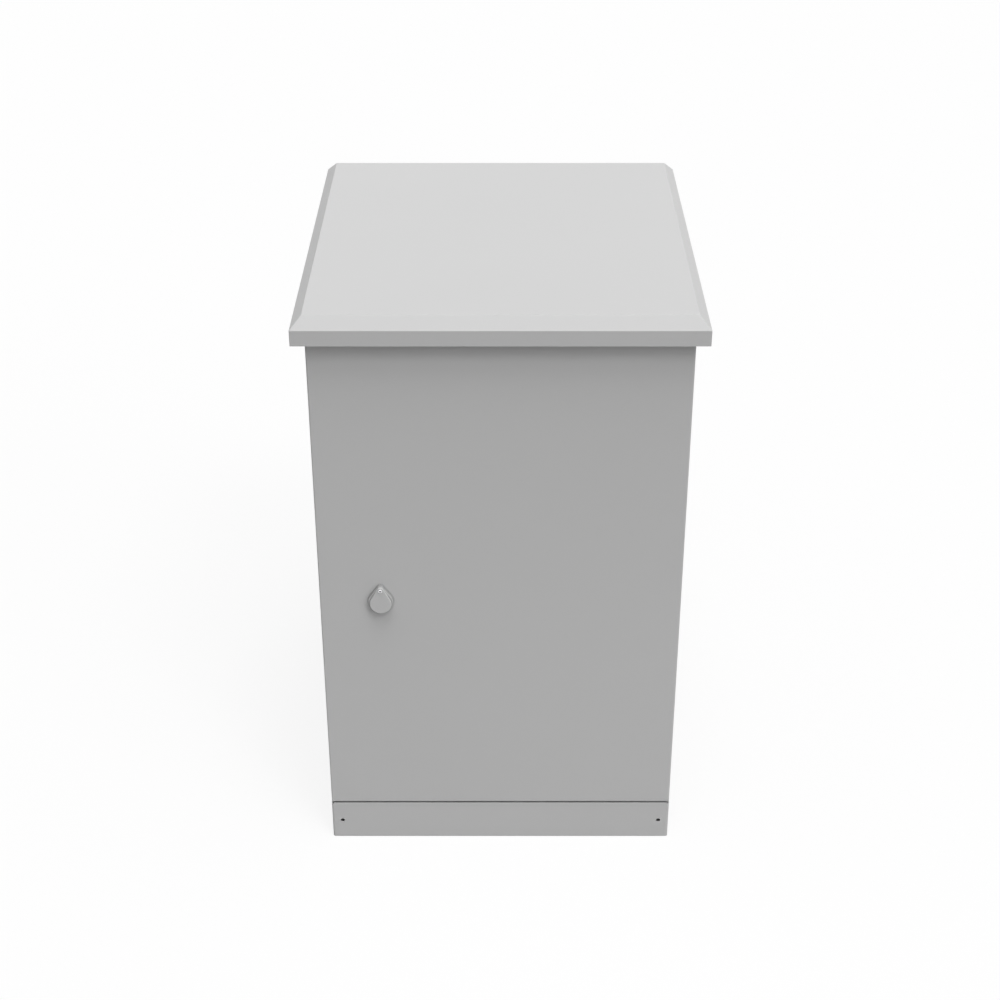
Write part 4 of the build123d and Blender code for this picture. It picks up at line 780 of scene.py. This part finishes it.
# %% Dust caps of the adapters
ADAPTER_COUNT = 12
ADAPTER_FLANGE = 0.0314
PORT_APART = 0.0127
CAP_WIDTH = 0.0099
CAP_HEIGHT = 0.0070
CAP_INSIDE = 0.006
CAP_RIM = 0.0012
CAP_SHOULDER = 0.0018
CAP_PULL = 0.0045
CAP_ROUND = 0.0004


def port_places(node):
    """The middle of the mouth of each port in one row of adapters, from left to right."""
    low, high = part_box(node)
    step = (high.x - low.x - ADAPTER_FLANGE) / (ADAPTER_COUNT - 1)
    first_x = low.x + ADAPTER_FLANGE / 2
    z = middle_of(low, high).z
    sides = (-PORT_APART / 2, PORT_APART / 2)
    xs = [first_x + i * step + side for i in range(ADAPTER_COUNT) for side in sides]
    return [Vector((x, low.y, z)) for x in xs]


def shape_cap(name, mouth):
    """The first dust cap, in the port with this mouth."""
    begin(bpy.ops.mesh.primitive_cube_add, size=1.0, location=mouth)
    bpy.ops.transform.resize(value=(CAP_WIDTH, CAP_INSIDE, CAP_HEIGHT), center_override=mouth)
    bpy.ops.transform.translate(value=(0, CAP_INSIDE / 2 - CAP_RIM, 0))
    choose("FACE", lambda at, face: at.y < mouth.y - CAP_RIM / 2)
    bpy.ops.mesh.inset(thickness=CAP_SHOULDER)
    bpy.ops.mesh.extrude_region_move(TRANSFORM_OT_translate={"value": (0, -CAP_PULL, 0)})
    bpy.ops.mesh.select_all(action="SELECT")
    bpy.ops.mesh.bevel(offset=CAP_ROUND, segments=2)
    return finish_piece(name, cap_plastic, "tray_plastic", "cabinet")


ports = {}
for row in ("lower", "upper"):
    for i, mouth in enumerate(port_places(f"patch_adapters_{row}"), start=1):
        ports[f"dust_cap_{row}_{i}"] = mouth
first_name, *other_names = ports
first_cap = shape_cap(first_name, ports[first_name])
dust_caps = [first_cap]
for name in other_names:
    dust_caps.append(copy_to(first_cap, name, ports[first_name], ports[name], "cabinet"))
print("dust caps", len(dust_caps))

# %% [markdown]
# The domed nut of a cable gland is turned by hand before the spanner, so its skirt is
# ribbed. A ring of faces has every face inset and pushed out, which gives ribs with
# sloping sides, and Solidify gives the ring its wall inwards, into the dome.

# %% Grip ribs of the glands
RIB_COUNT = 24
RIB_RADIUS = 0.0151
RIB_LOW = 0.0085
RIB_HIGH = 0.0175
RIB_SLOPE = 0.0005
RIB_PROUD = 0.0006
RIB_WALL = 0.0005


def make_grip(name, gland, seat):
    """A ribbed ring round one gland, above the height at which the gland is seated."""
    ring = begin(
        bpy.ops.mesh.primitive_cylinder_add,
        vertices=RIB_COUNT, radius=RIB_RADIUS, depth=RIB_HIGH - RIB_LOW,
        location=(gland.x, gland.y, seat + middle_of(RIB_LOW, RIB_HIGH)), end_fill_type="NOTHING",
    )
    bpy.ops.mesh.select_all(action="SELECT")
    bpy.ops.mesh.inset(thickness=RIB_SLOPE, use_individual=True)
    bpy.ops.mesh.extrude_region_shrink_fatten(TRANSFORM_OT_shrink_fatten={"value": RIB_PROUD})
    bpy.ops.object.mode_set(mode="OBJECT")
    only(ring)
    bpy.ops.object.transform_apply(location=True, rotation=True, scale=True)
    wall = ring.modifiers.new("wall", "SOLIDIFY")
    wall.thickness = RIB_WALL
    wall.offset = -1.0
    bpy.ops.object.modifier_apply(modifier=wall.name)
    bpy.ops.object.mode_set(mode="EDIT")
    return finish_piece(name, dark_plastic, "dark_plastic", "cabinet")


gland_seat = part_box("gland_plate")[1].z
first_grip = make_grip("gland_grip_1", glands[0], gland_seat)
grips = at_each_gland(first_grip, "gland_grip")
print("grip faces", [len(grip.data.polygons) for grip in grips])

# %% [markdown]
# The stiffeners are spot-welded to the door skin. Each weld leaves a shallow round mark
# in the foot, with a low rim. One mark is a thin disc whose top is inset and pushed in.
# It is repeated along both feet of a stiffener inside one mesh, because the marks belong
# together, and the other stiffener gets a copy of that mesh.

# %% Spot welds of the stiffeners
WELD_RADIUS = 0.0030
WELD_RIM = 0.00025
WELD_RIM_WIDTH = 0.0008
WELD_DIP = 0.6 * WELD_RIM
WELD_STEP = 0.060
WELD_END = 0.030
FOOT_IN = 0.006
FOOT_THICK = 0.0015


def make_welds(name, node):
    """The marks along both feet of one stiffener."""
    low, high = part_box(node)
    skin = low.y + FOOT_THICK
    begin(
        bpy.ops.mesh.primitive_cylinder_add,
        vertices=20, radius=WELD_RADIUS, depth=2 * WELD_RIM,
        location=(low.x + FOOT_IN, skin, low.z + WELD_END), rotation=(math.pi / 2, 0, 0),
    )
    choose("FACE", lambda at, face: at.y > skin + WELD_RIM / 2)
    bpy.ops.mesh.inset(thickness=WELD_RIM_WIDTH)
    bpy.ops.transform.translate(value=(0, -WELD_DIP, 0))
    bpy.ops.mesh.select_all(action="SELECT")
    for _ in range(int((high.z - low.z - 2 * WELD_END) / WELD_STEP)):
        bpy.ops.mesh.duplicate_move(TRANSFORM_OT_translate={"value": (0, 0, WELD_STEP)})
    bpy.ops.mesh.select_all(action="SELECT")
    across = high.x - low.x - 2 * FOOT_IN
    bpy.ops.mesh.duplicate_move(TRANSFORM_OT_translate={"value": (across, 0, 0)})
    return finish_piece(name, inner_paint, "inner_paint", "door")


left_foot, right_foot = [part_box(f"door_stiffener_{side}")[0] for side in ("left", "right")]
left_welds = make_welds("weld_marks_left", "door_stiffener_left")
right_welds = copy_to(left_welds, "weld_marks_right", left_foot, right_foot, "door")
print("weld marks", [len(welds.data.polygons) for welds in (left_welds, right_welds)])

# %% [markdown]
# Fibres in a splice tray are kept down by thin tabs that reach in from its walls. A tab
# is a flat block with a rounded free end. One is shaped, and the others are copies that
# are turned in steps of a quarter and moved to their walls. Only the upper tray gets
# them, because the lower one is covered.

# %% Fibre tabs of the upper tray
TAB_SIZE = Vector((0.012, 0.009, 0.0010))
TAB_ROUND = 0.0035
TAB_BELOW = 0.0022
TRAY_WALL_INSIDE = 0.0010
TAB_XS = (-0.085, 0.0, 0.085)


def shape_tab(name, at):
    """The first tab, whose fixed end is at a point of the front wall."""
    begin(bpy.ops.mesh.primitive_cube_add, size=1.0, location=at)
    bpy.ops.transform.resize(value=TAB_SIZE, center_override=at)
    bpy.ops.transform.translate(value=(0, TAB_SIZE.y / 2, 0))
    free_end = at.y + 0.9 * TAB_SIZE.y
    beside = 0.4 * TAB_SIZE.x
    choose("EDGE", lambda where, edge: where.y > free_end and abs(where.x - at.x) > beside)
    bpy.ops.mesh.bevel(offset=TAB_ROUND, segments=6)
    return finish_piece(name, tray_plastic, "tray_plastic", "cabinet")


def tab_places():
    """Where the tabs are fixed, each with its turn in quarters."""
    low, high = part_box("splice_tray_upper")
    front = low.y + TRAY_WALL_INSIDE
    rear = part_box("splice_tray_lower")[1].y
    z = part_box("splice_lid")[0].z - TAB_BELOW
    middle = Vector((middle_of(low, high).x, middle_of(low.y, rear), z))
    places = [(Vector((middle.x + x, front, z)), 0) for x in TAB_XS]
    places += [(Vector((middle.x + x, rear - TRAY_WALL_INSIDE, z)), 2) for x in TAB_XS]
    places.append((Vector((high.x - TRAY_WALL_INSIDE, middle.y, z)), 1))
    places.append((Vector((low.x + TRAY_WALL_INSIDE, middle.y, z)), -1))
    return places


(tab_start, _), *tab_ends = tab_places()
fibre_tabs = [shape_tab("fibre_tab_1", tab_start)]
for i, (end, quarters) in enumerate(tab_ends, start=2):
    fibre_tabs.append(
        copy_to(fibre_tabs[0], f"fibre_tab_{i}", tab_start, end, "cabinet", quarters=quarters)
    )
print("fibre tabs", [tuple(round(v, 3) for v in tab.data.vertices[0].co) for tab in fibre_tabs])

# %% [markdown]
# The floor is a plain pale plane. The photograph has a white ground with no edge, so
# where a camera ray meets the floor most of what it sees is a plain white glow, and the
# rest is white matt ground, which keeps a soft shadow. Diffuse light bounces off the
# floor as off ordinary concrete, so that it doesn't lift the plinth.

# %% Floor
FLOOR_SIZE = 30.0
FLOOR_BOUNCE = (0.36, 0.36, 0.36)
FLOOR_WHITE = (0.86, 0.86, 0.86)
FLOOR_GLOW = 0.84
FLOOR_Z = -0.0003


def make_floor():
    """A wide plane just below the plinth, as stage."""
    material = bpy.data.materials.new("pale floor")
    material.use_nodes = True
    tree = material.node_tree
    tree.nodes.clear()
    output = place(tree, "ShaderNodeOutputMaterial")
    bounce = place(tree, "ShaderNodeBsdfDiffuse")
    bounce.inputs["Color"].default_value = (*FLOOR_BOUNCE, 1.0)
    ground = place(tree, "ShaderNodeBsdfDiffuse")
    ground.inputs["Color"].default_value = (*FLOOR_WHITE, 1.0)
    glow = place(tree, "ShaderNodeEmission", strength=1.0)
    glow.inputs["Color"].default_value = (1.0, 1.0, 1.0, 1.0)
    rays = place(tree, "ShaderNodeLightPath")
    seen = place(tree, "ShaderNodeMath", operation="MAXIMUM")
    shown = place(tree, "ShaderNodeMixShader", fac=FLOOR_GLOW)
    mix = place(tree, "ShaderNodeMixShader")
    link(tree, ground.outputs["BSDF"], shown.inputs[1])
    link(tree, glow.outputs["Emission"], shown.inputs[2])
    link(tree, rays.outputs["Is Camera Ray"], seen.inputs[0])
    link(tree, rays.outputs["Is Glossy Ray"], seen.inputs[1])
    link(tree, seen.outputs[0], mix.inputs["Fac"])
    link(tree, bounce.outputs["BSDF"], mix.inputs[1])
    link(tree, shown.outputs["Shader"], mix.inputs[2])
    link(tree, mix.outputs["Shader"], output.inputs["Surface"])
    bpy.ops.object.select_all(action="DESELECT")
    bpy.ops.mesh.primitive_plane_add(size=FLOOR_SIZE, location=(0, 0, FLOOR_Z))
    floor = bpy.context.active_object
    floor.name = "floor"
    dress(floor, material)
    return floor


floor = make_floor()
print("floor", floor.dimensions[:2])

# %% [markdown]
# The light is soft. A broad lamp overhead gives the roof its level, and a steeper one
# gives the long fade on the door below the hood. The key in front gives that shadow its
# edge, and a lamp on the right gives the lock its shadow to the left and parts the two
# side bevels. A weak lamp low in front lifts the foot of the door. Their strengths were
# solved together from the tones of the photograph, so the sky itself adds nothing and
# is only seen, and mirrored, as white.

# %% Sky and lamps
def make_sky():
    """A world that gives no light and is seen, and mirrored, as white."""
    world = bpy.data.worlds.new("studio sky")
    bpy.context.scene.world = world
    world.use_nodes = True
    tree = world.node_tree
    tree.nodes.clear()
    output = place(tree, "ShaderNodeOutputWorld")
    dark = place(tree, "ShaderNodeBackground", strength=0.0)
    white = place(tree, "ShaderNodeBackground", strength=1.0)
    white.inputs["Color"].default_value = (1.0, 1.0, 1.0, 1.0)
    rays = place(tree, "ShaderNodeLightPath")
    seen = place(tree, "ShaderNodeMath", operation="MAXIMUM")
    mirrored = place(tree, "ShaderNodeMath", operation="MAXIMUM")
    mix = place(tree, "ShaderNodeMixShader")
    link(tree, rays.outputs["Is Camera Ray"], seen.inputs[0])
    link(tree, rays.outputs["Is Glossy Ray"], seen.inputs[1])
    link(tree, seen.outputs[0], mirrored.inputs[0])
    link(tree, rays.outputs["Is Transmission Ray"], mirrored.inputs[1])
    link(tree, mirrored.outputs[0], mix.inputs["Fac"])
    link(tree, dark.outputs["Background"], mix.inputs[1])
    link(tree, white.outputs["Background"], mix.inputs[2])
    link(tree, mix.outputs["Shader"], output.inputs["Surface"])


def add_sun(name, towards, strength, spread):
    """A lamp at infinity that shines from the direction given, with a spread in degrees."""
    bpy.ops.object.select_all(action="DESELECT")
    bpy.ops.object.light_add(type="SUN", location=towards)
    lamp = bpy.context.active_object
    lamp.name = name
    lamp.data.energy = strength
    lamp.data.angle = math.radians(spread)
    lamp.rotation_mode = "QUATERNION"
    lamp.rotation_quaternion = Vector(towards).to_track_quat("Z", "Y")
    return lamp


def add_panel(name, at, target, power, size):
    """A square lamp that looks from one point at another and isn't seen itself."""
    bpy.ops.object.select_all(action="DESELECT")
    bpy.ops.object.light_add(type="AREA", location=at)
    lamp = bpy.context.active_object
    lamp.name = name
    lamp.data.energy = power
    lamp.data.size = size
    lamp.visible_camera = False
    lamp.rotation_mode = "QUATERNION"
    lamp.rotation_quaternion = (Vector(at) - Vector(target)).to_track_quat("Z", "Y")
    return lamp


make_sky()
lamps = [
    add_sun("overhead", towards=(0.05, -0.12, 1.0), strength=1.75, spread=100),
    add_sun("steep", towards=(0.05, -0.20, 1.0), strength=1.16, spread=24),
    add_sun("key", towards=(0.62, -1.0, 1.45), strength=0.50, spread=14),
    add_sun("right", towards=(1.155, -1.0, 0.58), strength=0.51, spread=30),
    add_panel("foot", at=(0.15, -1.5, 0.2), target=(0.0, -0.34, 0.3), power=1.26, size=0.8),
]
print("lamps", [lamp.name for lamp in lamps])

# %% [markdown]
# The camera was solved from the photograph together with the cabinet's sizes: it looks
# 30 degrees down, straight at the front, with a 64 mm lens on a 36 mm sensor.

# %% Camera
CAMERA_PLACE = (-0.0008, -2.8198, 2.1286)
CAMERA_DOWN = 29.985
CAMERA_LENS = 64.256
CAMERA_SENSOR = 36.0

bpy.ops.object.camera_add(location=CAMERA_PLACE, rotation=(math.radians(90 - CAMERA_DOWN), 0, 0))
camera = bpy.context.active_object
camera.data.sensor_width = CAMERA_SENSOR
camera.data.lens = CAMERA_LENS
bpy.context.scene.camera = camera
bpy.context.scene.view_settings.view_transform = "Standard"
print("camera", CAMERA_PLACE)
